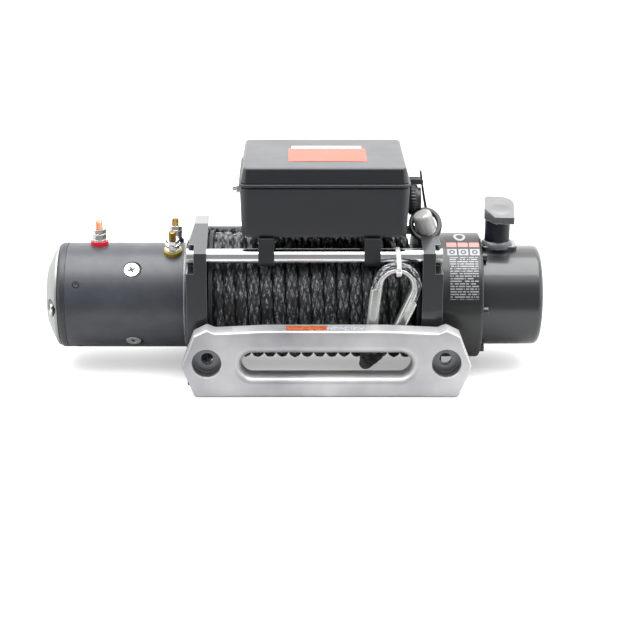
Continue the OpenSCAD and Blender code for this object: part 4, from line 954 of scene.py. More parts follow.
@dataclass
class Studio:
    """White room with a pale floor and a broad lamp overhead, dim in front of the winch."""

    camera_mm: tuple[float, float, float] = (-27.66, -1864.31, 660.20)
    pitch_deg: float = 18.0
    lens_mm: float = 100.34
    shift: float = 0.0412
    back_light: float = 2.0
    front_light: float = 0.34
    floor_front: float = -660.0

    def camera(self) -> None:
        """Sets the camera at the photograph's viewing point."""
        data = bpy.data.cameras.new("camera")
        data.lens, data.sensor_width, data.shift_x = self.lens_mm, 36.0, self.shift
        data.clip_start, data.clip_end = 0.05, 50.0
        camera = bpy.data.objects.new("camera", data)
        camera.location = [v * MM for v in self.camera_mm]
        camera.rotation_euler = (math.radians(90 - self.pitch_deg), 0, 0)
        bpy.context.scene.collection.objects.link(camera)
        bpy.context.scene.camera = camera

    def lamp(self, name: str, place: tuple[float, float, float], target: tuple[float, float, float],
             size: tuple[float, float], power: float) -> None:
        """Adds a soft rectangular lamp.

        Args:
            name: Name of the lamp.
            place: Where it hangs, in metres.
            target: What it points at.
            size: Width and height in metres.
            power: Watts.
        """
        data = bpy.data.lights.new(name, "AREA")
        data.shape, data.size, data.size_y, data.energy = "RECTANGLE", size[0], size[1], power
        lamp = bpy.data.objects.new(name, data)
        lamp.location = place
        way = np.array(target) - np.array(place)
        lean = math.acos(-way[2] / np.linalg.norm(way))
        lamp.rotation_euler = (lean, 0, math.atan2(way[1], way[0]) - math.pi / 2)
        bpy.context.scene.collection.objects.link(lamp)

    def floor(self) -> None:
        """Lays a broad floor that shows the soft shadow, deepened by painted shadow under the winch, and
        turns white further off; its paper carries painted shade in front.
        """
        x, y = np.meshgrid([-4000.0, 4000.0], [self.floor_front, 4000.0], indexing="ij")
        mesh = bpy.data.meshes.new("floor")
        corners = np.stack([x, y, np.full_like(x, -0.3)], 2).reshape(-1, 3) * MM
        mesh.from_pydata(corners.tolist(), [], [(0, 2, 3, 1)])
        floor = bpy.data.objects.new("floor", mesh)
        bpy.context.scene.collection.objects.link(floor)
        material = bpy.data.materials.new("paper_sweep_painted_shade")
        material.use_nodes = True
        tree = material.node_tree
        tree.nodes.clear()
        place = add(tree, "SeparateXYZ", {0: add(tree, "TexCoord").outputs["Object"]})
        # What lights and mirrors see: paper with painted shade, darker in front of the winch than behind it
        shade = Signal(tree, place.outputs[1]).into(RANGE, -0.34, -0.2, 0.14, 0.52)
        grain = add(tree, "TexNoise", {"Scale": 30.0, "Detail": 2.0})
        tone = Signal(tree, grain.outputs[0]).into(RANGE, 0.0, 1.0, 0.985, 1.015)
        matt = add(tree, "BsdfDiffuse", {"Color": shade * tone})
        # What the camera sees: glowing paper with a painted shadow, dimmer within 70 mm of the winch's
        # underside
        cover = add(tree, "AmbientOcclusion", {"Distance": 0.07}, samples=8)
        lift = Signal(tree, cover.outputs["AO"]).into(RANGE, 0.0, 0.6, 0.3, 0.74)
        glow = add(tree, "Emission", {"Color": (1, 1, 1, 1), "Strength": lift})
        paper = add(tree, "BsdfDiffuse", {"Color": (0.4, 0.4, 0.398, 1)})
        both = add(tree, "AddShader", {0: paper.outputs[0], 1: glow.outputs[0]})
        rays = add(tree, "LightPath")
        pick = add(tree, "MixShader",
                   {0: rays.outputs["Is Camera Ray"], 1: matt.outputs[0], 2: both.outputs[0]})
        add(tree, "OutputMaterial", {"Surface": pick.outputs[0]})
        mesh.materials.append(material)

    def room(self) -> None:
        """Fills the room with light that is dimmer in front and low down, and plain white to the camera."""
        world = bpy.data.worlds.new("white_room")
        world.use_nodes = True
        tree = world.node_tree
        tree.nodes.clear()
        rays = add(tree, "LightPath")
        seen = add(tree, MATHS, {0: rays.outputs["Is Camera Ray"], 1: rays.outputs["Is Transmission Ray"]},
                   operation="MAXIMUM")
        way = add(tree, "SeparateXYZ", {0: add(tree, "TexCoord").outputs["Generated"]})
        x, y, z = (Signal(tree, part) for part in way.outputs)
        # The dim part: ahead is 1 straight to the front and 0 to the sides, z is 1 straight up
        level = x.slant(y).into(MATHS, 0.001, operation="MAXIMUM")
        ahead = (y * -1.0).into(MATHS, level, operation="DIVIDE")
        front = ahead.into(RANGE, 0.45, 0.8, 0.0, 1.0, interpolation_type="SMOOTHSTEP")
        low = z.into(RANGE, 0.6, 0.78, 1.0, 0.0, interpolation_type="SMOOTHSTEP")
        radiance = add(tree, "Mix", {0: front * low, 2: self.back_light, 3: self.front_light}).outputs[0]
        even = add(tree, "Background", {"Color": (1, 1, 1, 1), "Strength": radiance})
        white = add(tree, "Background", {"Color": (1, 1, 1, 1), "Strength": 1.0})
        mix = add(tree, "MixShader", {0: seen.outputs[0], 1: even.outputs[0], 2: white.outputs[0]})
        add(tree, "OutputWorld", {"Surface": mix.outputs[0]})
        bpy.context.scene.world = world
        bpy.context.scene.view_settings.view_transform = "Standard"

    def build(self) -> None:
        """Sets the camera, the room, the floor and the lamps."""
        self.camera()
        self.room()
        self.floor()
        self.lamp("overhead_softbox", (0.0, -0.1, 1.35), (0.0, -0.09, 0.1), (2.4, 1.15), 43.0)


# Pieces of the winch


@dataclass
class RopeEnd:
    """The rope's working end: one cord out of the drum, its splice, thimble and cable tie."""

    cord_d: float = 9.3
    eye: tuple[float, float, float] = (87.8, -79.5, 112.3)
    bend_r: float = 21.4
    seat_r: float = 14.5
    left_lean: float = 6.0
    right_lean: float = 23.8
    braid_mm: float = 15.0
    sleeve_braid_mm: float = 12.0
    sheet: float = 1.7
    tie_x: float = 89.0
    tail: tuple[tuple[float, float, float], ...] = (
        (57.0, -34.5, 9.2), (58.0, -42.0, 12.4), (58.5, -50.0, 16.0), (59.0, -59.0, 20.5))

    def in_eye(self, angle: Array, radius: float) -> Array:
        """Points at angles and a radius round the eye's centre, in its upright plane."""
        x, y, z = self.eye
        return np.stack([x + radius * np.cos(angle), np.full_like(angle, y), z + radius * np.sin(angle)], 1)

    def route(self) -> Array:
        """The cord's middle line: out of the drum, up the left leg, over the arch and back down.

        Returns:
            Its points in millimetres.
        """
        angles = np.radians(np.linspace(180 - self.left_lean, -self.right_lean, 15))
        arch = self.in_eye(angles, self.bend_r)
        rise = [(60.5, -67.5, 26.5), (61.4, -74.5, 34.5), (61.0, -78.5, 43.0), (60.6, -79.5, 50.0),
                (60.6, -79.5, 57.0), (61.9, -79.5, 70.0), (64.2, -79.5, 92.6)]
        fall = [(102.9, -79.5, 93.6), (98.5, -79.5, 83.5), (93.0, -79.5, 70.5), (87.4, -79.5, 59.5),
                (81.0, -79.5, 51.5), (74.6, -79.2, 46.0), (69.8, -78.0, 39.5)]
        return np.concatenate([np.array(self.tail), np.array(rise), arch, np.array(fall)])

    def cord(self) -> tuple[Piece, Array]:
        """Makes the rope as one braided tube along its route.

        Returns:
            The piece and the middle line of its rings, in millimetres.
        """
        line = smooth_line(self.route(), 260)
        share = np.linspace(0, 1, 41)
        relief, uv = braided(run_along(line), share, self.braid_mm)
        radius = self.cord_d / 2 * (0.94 + 0.1 * relief)
        a = 2 * math.pi * share
        section = radius[..., None] * np.stack([np.cos(a), np.sin(a)], 1)
        skin = sweep(line, section, np.array([0.25, 1.0, 0.1]), uv=uv)
        # The cord wears the rope's lit copy, paler as painted light
        return skin.build("rope_cord", ROPE_IN_LIGHT, stands_for=("rope_eye",), slot="rope", sharp=80), line

    def splice(self) -> Piece:
        """Makes the swollen sleeve where the rope's end runs back inside itself, tapering to the drum.

        Its section at angle a is (w cos a, d sin a), with half widths w and d that change along it,
        and narrower in the middle of its broad faces where it is flat.

        Returns:
            The piece.
        """
        route = [(66.8, -79.5, 53.0), (66.5, -79.5, 50.0), (65.0, -78.5, 43.0), (62.5, -75.0, 34.5),
                 (60.5, -68.0, 26.5), *self.tail[::-1]]
        wide = [11.0, 14.0, 13.6, 12.2, 9.8, 7.1, 6.8, 6.8, 6.7]
        deep = [4.0, 6.2, 6.8, 7.2, 7.2, 7.0, 6.8, 6.8, 6.7]
        line = smooth_line(np.array(route), 130)
        run = run_along(line)
        at = np.linspace(0, 1, len(route))
        w, d = (np.interp(run / run[-1], at, v)[:, None] for v in (wide, deep))
        share = np.linspace(0, 1, 61)
        relief, uv = braided(run, share, self.sleeve_braid_mm)
        swell = 0.95 + 0.09 * relief
        a = 2 * math.pi * share[None, :]
        waist = 1 - 0.16 * np.clip((w - d) / 7, 0, 1) * np.sin(a) ** 4
        section = np.stack([w * swell * np.cos(a), d * swell * waist * np.sin(a)], 2)
        skin = sweep(line, section, np.array([1.0, 0.05, 0.1]), uv=uv)
        return skin.build("rope_sleeve", ROPE, stands_for=("rope_splice", "rope_tail"), slot="rope", sharp=80)

    def thimble(self) -> Piece:
        """Makes the thimble: a bent sheet channel whose side walls are low on the arch and high on the legs.

        The channel's path follows the inside of the eye. Its section is a U with a round bottom, dished
        walls and rolled rims, and the walls' height rises in one short step where each leg begins.

        Returns:
            The piece.
        """
        left, right = math.radians(self.left_lean), math.radians(self.right_lean)
        legs, turns = 58, 61
        angles = np.linspace(-right, math.pi - left, turns)
        out_arch = np.stack([np.cos(angles), np.zeros(turns), np.sin(angles)], 1)
        centre = np.array(self.eye)
        leg = np.linspace(64, 0, legs, endpoint=False)[:, None]
        out_right = np.array([math.cos(right), 0, -math.sin(right)])
        out_left = np.array([-math.cos(left), 0, math.sin(left)])
        down_right = np.array([-math.sin(right), 0, -math.cos(right)])
        down_left = np.array([-math.sin(left), 0, -math.cos(left)])
        base = np.concatenate([centre + self.seat_r * out_right + leg * down_right,
                               centre + self.seat_r * out_arch,
                               centre + self.seat_r * out_left + leg[::-1] * down_left])
        out = np.concatenate([np.repeat(out_right[None], legs, 0), out_arch,
                              np.repeat(out_left[None], legs, 0)])
        # Below 0 on the right leg, 0 to 1 round the arch, and above 1 on the left leg
        run = np.concatenate([-leg[:, 0], np.linspace(0, 1, turns), 1 + leg[::-1, 0]])
        arch = np.r_[np.ones(legs), np.abs(np.linspace(-1, 1, turns)), np.ones(legs)]
        low = 5.6
        wall = low + 2.2 * arch**3 + 4.6 * (ease((-run - 6.5) / 2.0) + ease((run - 1 - 4.0) / 2.0))
        wall -= 5.5 * np.clip(np.maximum(-run - 58, run - 1 - 58) / 6, 0, 1) ** 1.5
        inner, outer, dip = 4.9, 4.9 + self.sheet, 3.4
        a = np.linspace(math.pi, 2 * math.pi, 15)
        bowl_outer = np.stack([outer * np.cos(a), dip + dip * np.sin(a), 0 * a], 1)
        bowl_inner = np.stack([inner * np.cos(a[::-1]), dip + (dip - self.sheet) * np.sin(a[::-1]), 0 * a], 1)
        # Each point of the section: across, out from the eye, and its share of the wall's growth
        rim = np.array([[inner, 5.0, 1], [inner + 0.6, 5.6, 1], [outer + 0.1, 5.6, 1], [outer + 0.5, 5.2, 1],
                        [outer + 0.5, 4.5, 1], [outer - 0.5, 4.0, 1], [outer - 0.5, 3.8, 0.16],
                        [outer + 0.2, 3.5, 0.1]])
        mirror = (-1, 1, 1)
        shape = np.concatenate([rim * mirror, bowl_outer, rim[::-1], bowl_inner, rim[:1] * mirror])
        depth = shape[:, 1] + shape[:, 2] * (wall[:, None] - low)
        side = np.broadcast_to(shape[:, 0], depth.shape)
        points = base[:, None] + out[:, None] * depth[..., None] + np.array([0, 1.0, 0]) * side[..., None]
        skin = Skin.grid(points, True)
        return skin.build("rope_thimble", STAINLESS, stands_for=("thimble",), slot="thimble_steel", sharp=50)

    def tie(self) -> Piece:
        """Makes the cable tie: a band round the tie bar and the arch, its head and its cut tail.

        The band's line is the outer tangent loop of two circles, one round each.

        Returns:
            The piece.
        """
        bar, bar_r = np.array([-58.0, 139.0]), 8.9
        foot, foot_r = np.array([-79.5, 133.7]), 10.4
        way = foot - bar
        base = math.atan2(way[1], way[0])
        lean = math.acos((bar_r - foot_r) / np.linalg.norm(way))
        a = np.linspace(base + lean, base + 2 * math.pi - lean, 40)
        b = np.linspace(base - lean, base + lean, 40)
        loop = np.concatenate([bar + bar_r * np.stack([np.cos(a), np.sin(a)], 1),
                               foot + foot_r * np.stack([np.cos(b), np.sin(b)], 1)])
        loop = respace(close_ring(loop), 121)
        path = np.column_stack([np.full(len(loop), self.tie_x), loop])
        band = rounded_box_ring(4.8, 1.2, 0.5, 3)
        side = np.array([1.0, 0, 0])
        up = np.cross(along_ring(path), side)
        teeth = 1 + 0.12 * np.cos(np.arange(121) * math.pi)[:, None]
        points = (path[:, None] + band[None, :, :1] * side
                  + (band[None, :, 1:2] * teeth[..., None]) * up[:, None])
        head = stack([(rounded_box_ring(w, d, 1.2, 4), h) for w, d, h in
                      ((4.4, 3.6, 0), (5.4, 4.8, 0.6), (6.2, 5.2, 4.2), (5.4, 4.2, 4.8))])
        tongue = stack([(rounded_box_ring(4.6, 1.2, 0.5, 4), h) for h in (0, 5.2)])
        rows = around(104.0)
        skin = Skin.grid(points)
        skin += (head.turned(rows).moved((self.tie_x, -91.0, 127.2))
                 + tongue.turned(rows).moved((self.tie_x, -92.4, 131.0)))
        return skin.build("rope_cable_tie", NYLON, stands_for=("cable_tie",), slot="tie_nylon", sharp=40)

    def build(self) -> None:
        cord, line = self.cord()
        on_it = [self.splice(), self.thimble(), self.tie()]


@dataclass
class Winding:
    """The outer layer of rope on the drum: one braided tube in fifteen turns."""

    turns: int = 15
    rope_r: float = 6.65
    path_r: float = 62.75
    start_deg: float = 250.0
    first_x: float = -103.05
    braid_mm: float = 19.0

    def build(self) -> None:
        """Winds the rope: its middle runs on a helix, and its surface carries the braid's relief.

        At turn t the middle lies at x = first + pitch t and at the path's radius, with a slow sway of
        less than half a millimetre. The lead-in dips under the layer, the first turn is pushed
        sideways by the next one, and the last few rings run straight on. The relief has fine steps
        on the outer side only.
        """
        lead_in, steps = -0.76, 236
        rings = self.turns * steps
        t = np.linspace(lead_in, self.turns + 0.034, rings)
        turn = np.clip(t, lead_in, self.turns)
        angle = np.radians(self.start_deg + 360 * turn)
        out = np.stack([np.zeros(rings), np.cos(angle), np.sin(angle)], 1)
        ahead = np.stack([np.zeros(rings), -np.sin(angle), np.cos(angle)], 1)
        pitch = -2 * self.first_x / self.turns
        sway = 0.35 * np.sin(2.3 * turn) + 0.25 * np.sin(11.7 * turn + 1.0)
        path_r = self.path_r - 9 * np.clip((-0.6 - turn) / 0.16, 0, 1)[:, None] ** 2
        middle = path_r * out + (2 * math.pi * self.path_r * (t - turn))[:, None] * ahead
        middle[:, 0] = self.first_x + pitch * np.where(turn < 0, 0.25 * turn, turn) + 0.2 * sway
        middle[:, 0] += 4.8 * np.clip(1 - turn, 0, 1) * np.clip(turn, 0, 1)
        middle += 0.45 * sway[:, None] * out
        middle[:, 2] += AXIS_HEIGHT
        outside = np.linspace(-0.31, 0.31, 27)
        share = np.concatenate([outside, [0.38, 0.44, 0.5, 0.56, 0.62], outside[:1] + 1])
        relief, uv = braided(2 * math.pi * self.path_r * t, share, self.braid_mm)
        radius = self.rope_r * (0.93 + 0.12 * relief)
        a = 2 * math.pi * share
        points = (middle[:, None] + (radius * np.cos(a))[..., None] * out[:, None]
                  + (radius * np.sin(a))[..., None] * np.array([-1.0, 0, 0]))
        half = rings // 2
        for name, rows, node in (("rope_turns_left", slice(0, half + 1), ("rope_winding",)),
                                 ("rope_turns_right", slice(half, rings), ())):
            Skin.grid(points[rows], True, uv[rows]).build(name, ROPE, "drum", node, "rope", sharp=80)


def carve(piece: Piece, tools: list[Skin], sharp: float) -> None:
    """Cuts closed shapes out of a piece.

    Args:
        piece: The piece.
        tools: The shapes, in millimetres.
        sharp: Angle in degrees above which an edge stays sharp.
    """
    cutters = []
    for tool in tools:
        mesh = tool.mesh("cutter", 30.0)
        cutter = bpy.data.objects.new("cutter", mesh)
        bpy.context.scene.collection.objects.link(cutter)
        modifier = piece.modifiers.new("cut", "BOOLEAN")
        modifier.operation, modifier.solver, modifier.object = "DIFFERENCE", "EXACT", cutter
        cutters.append(cutter)
    seen = piece.evaluated_get(bpy.context.evaluated_depsgraph_get())
    mesh = bpy.data.meshes.new_from_object(seen)
    piece.modifiers.clear()
    piece.data = mesh
    mesh.set_sharp_from_angle(angle=math.radians(sharp))
    for cutter in cutters:
        bpy.data.objects.remove(cutter)


@dataclass
class Fairlead:
    """Loose hawse casting in front of the drum: a flared slot, two cupped bolt holes, rounded edges."""

    centre_x: float = 12.5
    front: float = -118.3
    back: float = -94.3
    slot_z: float = 35.4
    slot: tuple[float, float] = (181.0, 25.6)
    flare: tuple[float, float] = (8.6, 9.5)
    edge: float = 3.0
    hole_x: float = 127.0
    hole_z: float = 38.0
    corners: tuple[tuple[float, float, float], ...] = (
        (140, 0, 2.5), (154, 33.75, 5), (141, 68, 4), (127, 75, 2.5), (118, 71.5, 4), (63.5, 74.1, 60))

    def outline(self) -> Array:
        """Rounded outline about the slot's centre, anticlockwise.

        Returns:
            Points (x, z).
        """
        right = np.array(self.corners, float)
        left = right[::-1] * [-1, 1, 1]
        both = np.concatenate([right, left])
        line = round_corners(both[:, :2], both[:, 2], 6)
        return line - [0, self.slot_z]

    def rays(self, line: Array) -> tuple[Array, Array, Array]:
        """Spreads rays from the slot's middle line to the outline.

        The place s runs round the slot: half a turn about its right end, one unit along its top,
        half a turn about its left end and one unit along its bottom. Every corner of the outline has
        a ray of its own. A ray meets a side where both lie at one point, which is a pair of linear
        equations for the distance along each.

        Args:
            line: The outline.

        Returns:
            Start points, directions and distances to the outline.
        """
        half = (self.slot[0] - self.slot[1]) / 2
        quarter = math.pi / 2
        knots = [-quarter, quarter, quarter + 1, 3 * quarter + 1, 3 * quarter + 2]
        start = np.clip(line[:, 0], -half, half)
        angle = np.arctan2(line[:, 1], line[:, 0] - start)
        angle = np.where(line[:, 0] < -half, angle % (2 * math.pi), angle)
        s = angle + (half - start) / (2 * half)
        spread = np.concatenate([np.linspace(knots[k], knots[k + 1], n, endpoint=False)
                                 for k, n in enumerate((48, 60, 48, 60))])
        s = np.unique(np.concatenate([s, spread]).round(5))
        s = s[np.r_[True, np.diff(s) > 2e-4]]
        angle = np.interp(s, knots, [-quarter, quarter, quarter, 3 * quarter, 3 * quarter])
        x = np.interp(s, knots, [half, half, -half, -half, half])
        begin = np.stack([x, np.zeros_like(x)], 1)
        way = np.stack([np.cos(angle), np.sin(angle)], 1)
        a, b = line, np.roll(line, -1, 0)
        side = b - a
        gap = a[None] - begin[:, None]
        cross = way[:, None, 0] * side[None, :, 1] - way[:, None, 1] * side[None, :, 0]
        cross = np.where(np.abs(cross) < 1e-9, 1e-9, cross)
        far = (gap[..., 0] * side[None, :, 1] - gap[..., 1] * side[None, :, 0]) / cross
        at = (gap[..., 0] * way[:, None, 1] - gap[..., 1] * way[:, None, 0]) / cross
        far = np.where((at > -1e-6) & (at < 1 + 1e-6) & (far > 0), far, 1e9).min(1)
        return begin, way, far

    def build(self) -> None:
        """Runs the section from the slot's back over its flare, the face and the outer edge to the back.

        Each pair of the section is a distance out along the rays and a place y. The cups are cut out
        and lined, and the label is laid on top.
        """
        begin, way, far = self.rays(self.outline())
        inner = np.full_like(far, self.slot[1] / 2)
        wide, deep = self.flare
        throat = self.front + deep
        quarter = np.linspace(0, math.pi / 2, 13)
        rows = [(inner + 1.2, self.back), (inner, self.back - 1.2), (inner, (self.back + throat) / 2)]
        rows += [(inner + wide * (1 - math.cos(a)), throat - deep * math.sin(a)) for a in quarter]
        lip = inner + wide
        rows += [(lip + k * (far - self.edge - lip), self.front) for k in (0.1, 0.4, 0.7)]
        rows += [(far - self.edge * (1 - math.sin(a)), self.front + self.edge * (1 - math.cos(a)))
                 for a in np.linspace(0, math.pi / 2, 6)]
        rows += [(far, self.back - 1), (far - 1, self.back), ((far + inner) / 2, self.back), rows[0]]
        grid = np.stack([np.column_stack([begin + way * r[:, None], np.full(len(far), y)]) for r, y in rows])
        # Rays closed to a ring, and x, z, y put in the order x, y, z
        grid = np.concatenate([grid, grid[:, :1]], 1)[..., [0, 2, 1]]
        grid += np.array([self.centre_x, 0, self.slot_z])
        piece = Skin.grid(grid).build("fairlead_casting", ALUMINIUM, stands_for=("fairlead",),
                                      slot="fairlead_aluminium", sharp=50)
        mouth, floor = self.front + 1.2, self.front + 15.8
        cup = [(self.front - 0.6, 16.6), (self.front + 0.9, 15.5), (self.front + 15.0, 15.5),
               (self.front + 16.0, 14.5), (self.front + 16.0, 6.75), (self.back + 1.0, 6.75)]
        # The liner wears the darker aluminium: painted shade in the cups
        cup_shade_liner = [(mouth, 15.35), (mouth, 15.7), (floor + 0.4, 15.7), (floor + 0.4, 6.9), (floor, 6.9),
                 (floor, 14.6), (floor - 0.75, 15.35), (mouth, 15.35)]
        places = [(self.centre_x + s * self.hole_x, 0, self.hole_z) for s in (-1, 1)]
        carve(piece, [lathe(cup, 72, True).turned(TO_BACK).moved(p) for p in places], 40)
        cups = join([lathe(cup_shade_liner, 72).turned(TO_BACK).moved(p) for p in places])
        cups.build("fairlead_cup_shade", RECESS, slot="fairlead_aluminium", sharp=40)
        self.strip()

    def strip(self) -> None:
        """Lays the two-part label along the top edge, whose height drops with the square of x."""
        for name, finish, span in (("fairlead_label_left", ORANGE_STRIP, (-30.0, 12.6)),
                                   ("fairlead_label_right", GREY_STRIP, (13.0, 53.8))):
            x, y = np.meshgrid(np.linspace(*span, 9), np.linspace(self.front + 3.2, self.front + 18, 4),
                               indexing="ij")
            drop = 0.135 * np.clip(np.abs(x - self.centre_x) / 63.5, 0, 1) ** 2
            Skin.grid(np.stack([x, y, 74.35 - drop], 2)).build(name, finish, slot="fairlead_aluminium")


@dataclass
class ControlBox:
    """Plastic box over the drum: tapered base with a ledge, and a drafted lid with its label."""

    centre: tuple[float, float] = (10.5, 0.0)
    size: tuple[float, float] = (179.0, 135.0)
    foot_z: float = 161.0
    rim_z: float = 220.6
    top_z: float = 237.9
    corner: float = 9.0
    back_grow: float = 4.5
    socket: tuple[float, float, float] = (0.0, -12.0, 190.5)
    nut: tuple[float, float, float] = (-79.6, -12.0, 203.5)

    def ring(self, grow: float, grow_back: float = 0.0) -> Array:
        """Outline of the box, larger by an amount on each side, and further out at the back.

        Args:
            grow: How much further out each side is.
            grow_back: How much more the back is.

        Returns:
            Points (x, y), the last the same as the first.
        """
        width, depth = self.size
        ring = rounded_box_ring(width + 2 * grow, depth + 2 * grow, max(self.corner + grow, 2.0), 9)
        ring = ring + np.array(self.centre)
        ring[:, 1] += grow_back * np.clip(ring[:, 1] / (depth / 2), 0, 1)
        return ring

    def base(self) -> None:
        """Stacks the base's outlines: round lower edge, tapered wall, groove and ledge under the lid."""
        round_r = 5.0
        levels = [(self.ring(-1.4 - round_r * (1 - math.sin(a))), self.foot_z + round_r * (1 - math.cos(a)))
                  for a in np.linspace(0, math.pi / 2, 7)]
        levels += [(self.ring(grow), self.rim_z - below) for grow, below in
                   ((0.4, 6.6), (0.3, 6.0), (-0.4, 5.4), (-2.4, 5.2), (-2.4, 4.0), (0.8, 3.9), (1.6, 3.5),
                    (1.7, 3.1), (1.7, 1.3), (1.3, 0.8), (0.0, 0.6), (-1.2, 0.6))]
        stack(levels).build("control_box_base", BOX_PLASTIC, stands_for=("box_base",), slot="box_plastic",
                            sharp=40)

    def top_height(self, ring: Array) -> Array:
        """Height of the lid's top: it rises evenly to the back, and its crown falls with x squared.

        Args:
            ring: Points (x, y).

        Returns:
            The height at each.
        """
        x, y = ((ring - self.centre) / (np.array(self.size) / 2)).T
        return self.top_z + 1.2 * y + 0.5 * (1 - x**2)

    def lid(self) -> None:
        """Stacks the lid's outlines up to a rounded edge and closes the top over shrinking ones."""
        draft, round_r = 3.0, 2.4
        levels = [(self.ring(grow), self.rim_z + above) for grow, above in
                  ((-1.6, -0.5), (-0.5, -0.1), (-0.2, 0.4))]
        for a in np.linspace(0, math.pi / 2, 7):
            ring = self.ring(-draft - round_r * (1 - math.cos(a)), self.back_grow)
            levels.append((ring, self.top_height(ring) - round_r * (1 - math.sin(a))))
        top = self.ring(-draft - round_r, self.back_grow)
        shrunk = [self.centre + (top - self.centre) * k for k in (0.97, 0.85, 0.6, 0.3, 0.02)]
        levels += [(ring, self.top_height(ring)) for ring in shrunk]
        stack(levels).build("control_box_lid", LID_PLASTIC, stands_for=("box_lid",), slot="box_plastic",
                            sharp=40)

    def label(self, name: str, finish: Finish, x_span: tuple[float, float],
              y_span: tuple[float, float]) -> None:
        """Lays a plain sticker on the lid.

        Args:
            name: Name of the piece.
            finish: Its material.
            x_span: Left and right ends.
            y_span: Front and back ends.
        """
        x, y = np.meshgrid(np.linspace(*x_span, 12), np.linspace(*y_span, 8), indexing="ij")
        flat = np.stack([x.ravel(), y.ravel()], 1)
        z = self.top_height(flat).reshape(x.shape) + 0.15
        Skin.grid(np.stack([x, y, z], 2)).build(name, finish, slot="box_plastic")

    def side_nut(self) -> None:
        """Makes the hexagon nut, its washer and the bolt's end on the left wall."""
        corners = np.radians(np.arange(0, 361, 60))
        hexagon = 6.0 * np.stack([np.cos(corners), np.sin(corners)], 1)
        slim = hexagon * 0.93
        nut = stack([(slim, 0.0), (hexagon, 0.6), (hexagon, 4.2), (slim, 4.8)])
        washer = lathe([(-0.9, 0.05), (-0.9, 7.2), (0.0, 7.2), (0.0, 0.05)], 40, True)
        bolt = lathe([(0.0, 0.05), (0.0, 3.0), (8.4, 3.0), (9.2, 2.3), (9.2, 0.05)], 40, True)
        skin = nut + washer.turned(UPRIGHT) + bolt.turned(UPRIGHT)
        to_left = ((0, 0, 1), (0, 1, 0), (-1, 0, 0))
        skin.turned(to_left).moved(self.nut).build("control_box_side_nut", ZINC, slot="zinc_steel", sharp=30)

    def socket_ring(self) -> None:
        """Makes the socket's open mouth and the fluted ring on it.

        The ring's radius at angle a is r + k cos(30 a), with k 0 at its two inner edges.
        """
        a = ring_angles(241)
        rows = []
        for x, r, flute in ((103.2, 15.3, 0), (103.4, 16.4, 0.35), (103.9, 16.9, 0.35), (109.6, 16.9, 0.35),
                            (110.2, 16.3, 0.35), (110.4, 15.3, 0)):
            radius = r + flute * np.cos(30 * a)
            rows.append(np.stack([np.full_like(a, x), radius * np.cos(a), radius * np.sin(a)], 1))
        mouth = lathe([(109.0, 11.0), (109.0, 12.9), (115.4, 12.9), (115.9, 12.4), (115.9, 11.0),
                       (109.0, 11.0)], 64)
        skin = (Skin.grid(np.stack(rows)) + mouth).moved(self.socket)
        skin.build("socket_grip_ring", BLACK_NYLON, slot="box_plastic", sharp=50)

    def build(self) -> None:
        """Makes the base, the lid, the lid's labels and the small parts on the walls."""
        self.side_nut()
        self.socket_ring()
        self.base()
        self.lid()
        self.label("lid_label", LID_LABEL, (-27.5, 56.0), (-35.0, 20.6))
        self.label("lid_label_strip", WHITE_STRIP, (-24.5, 52.0), (23.0, 33.0))


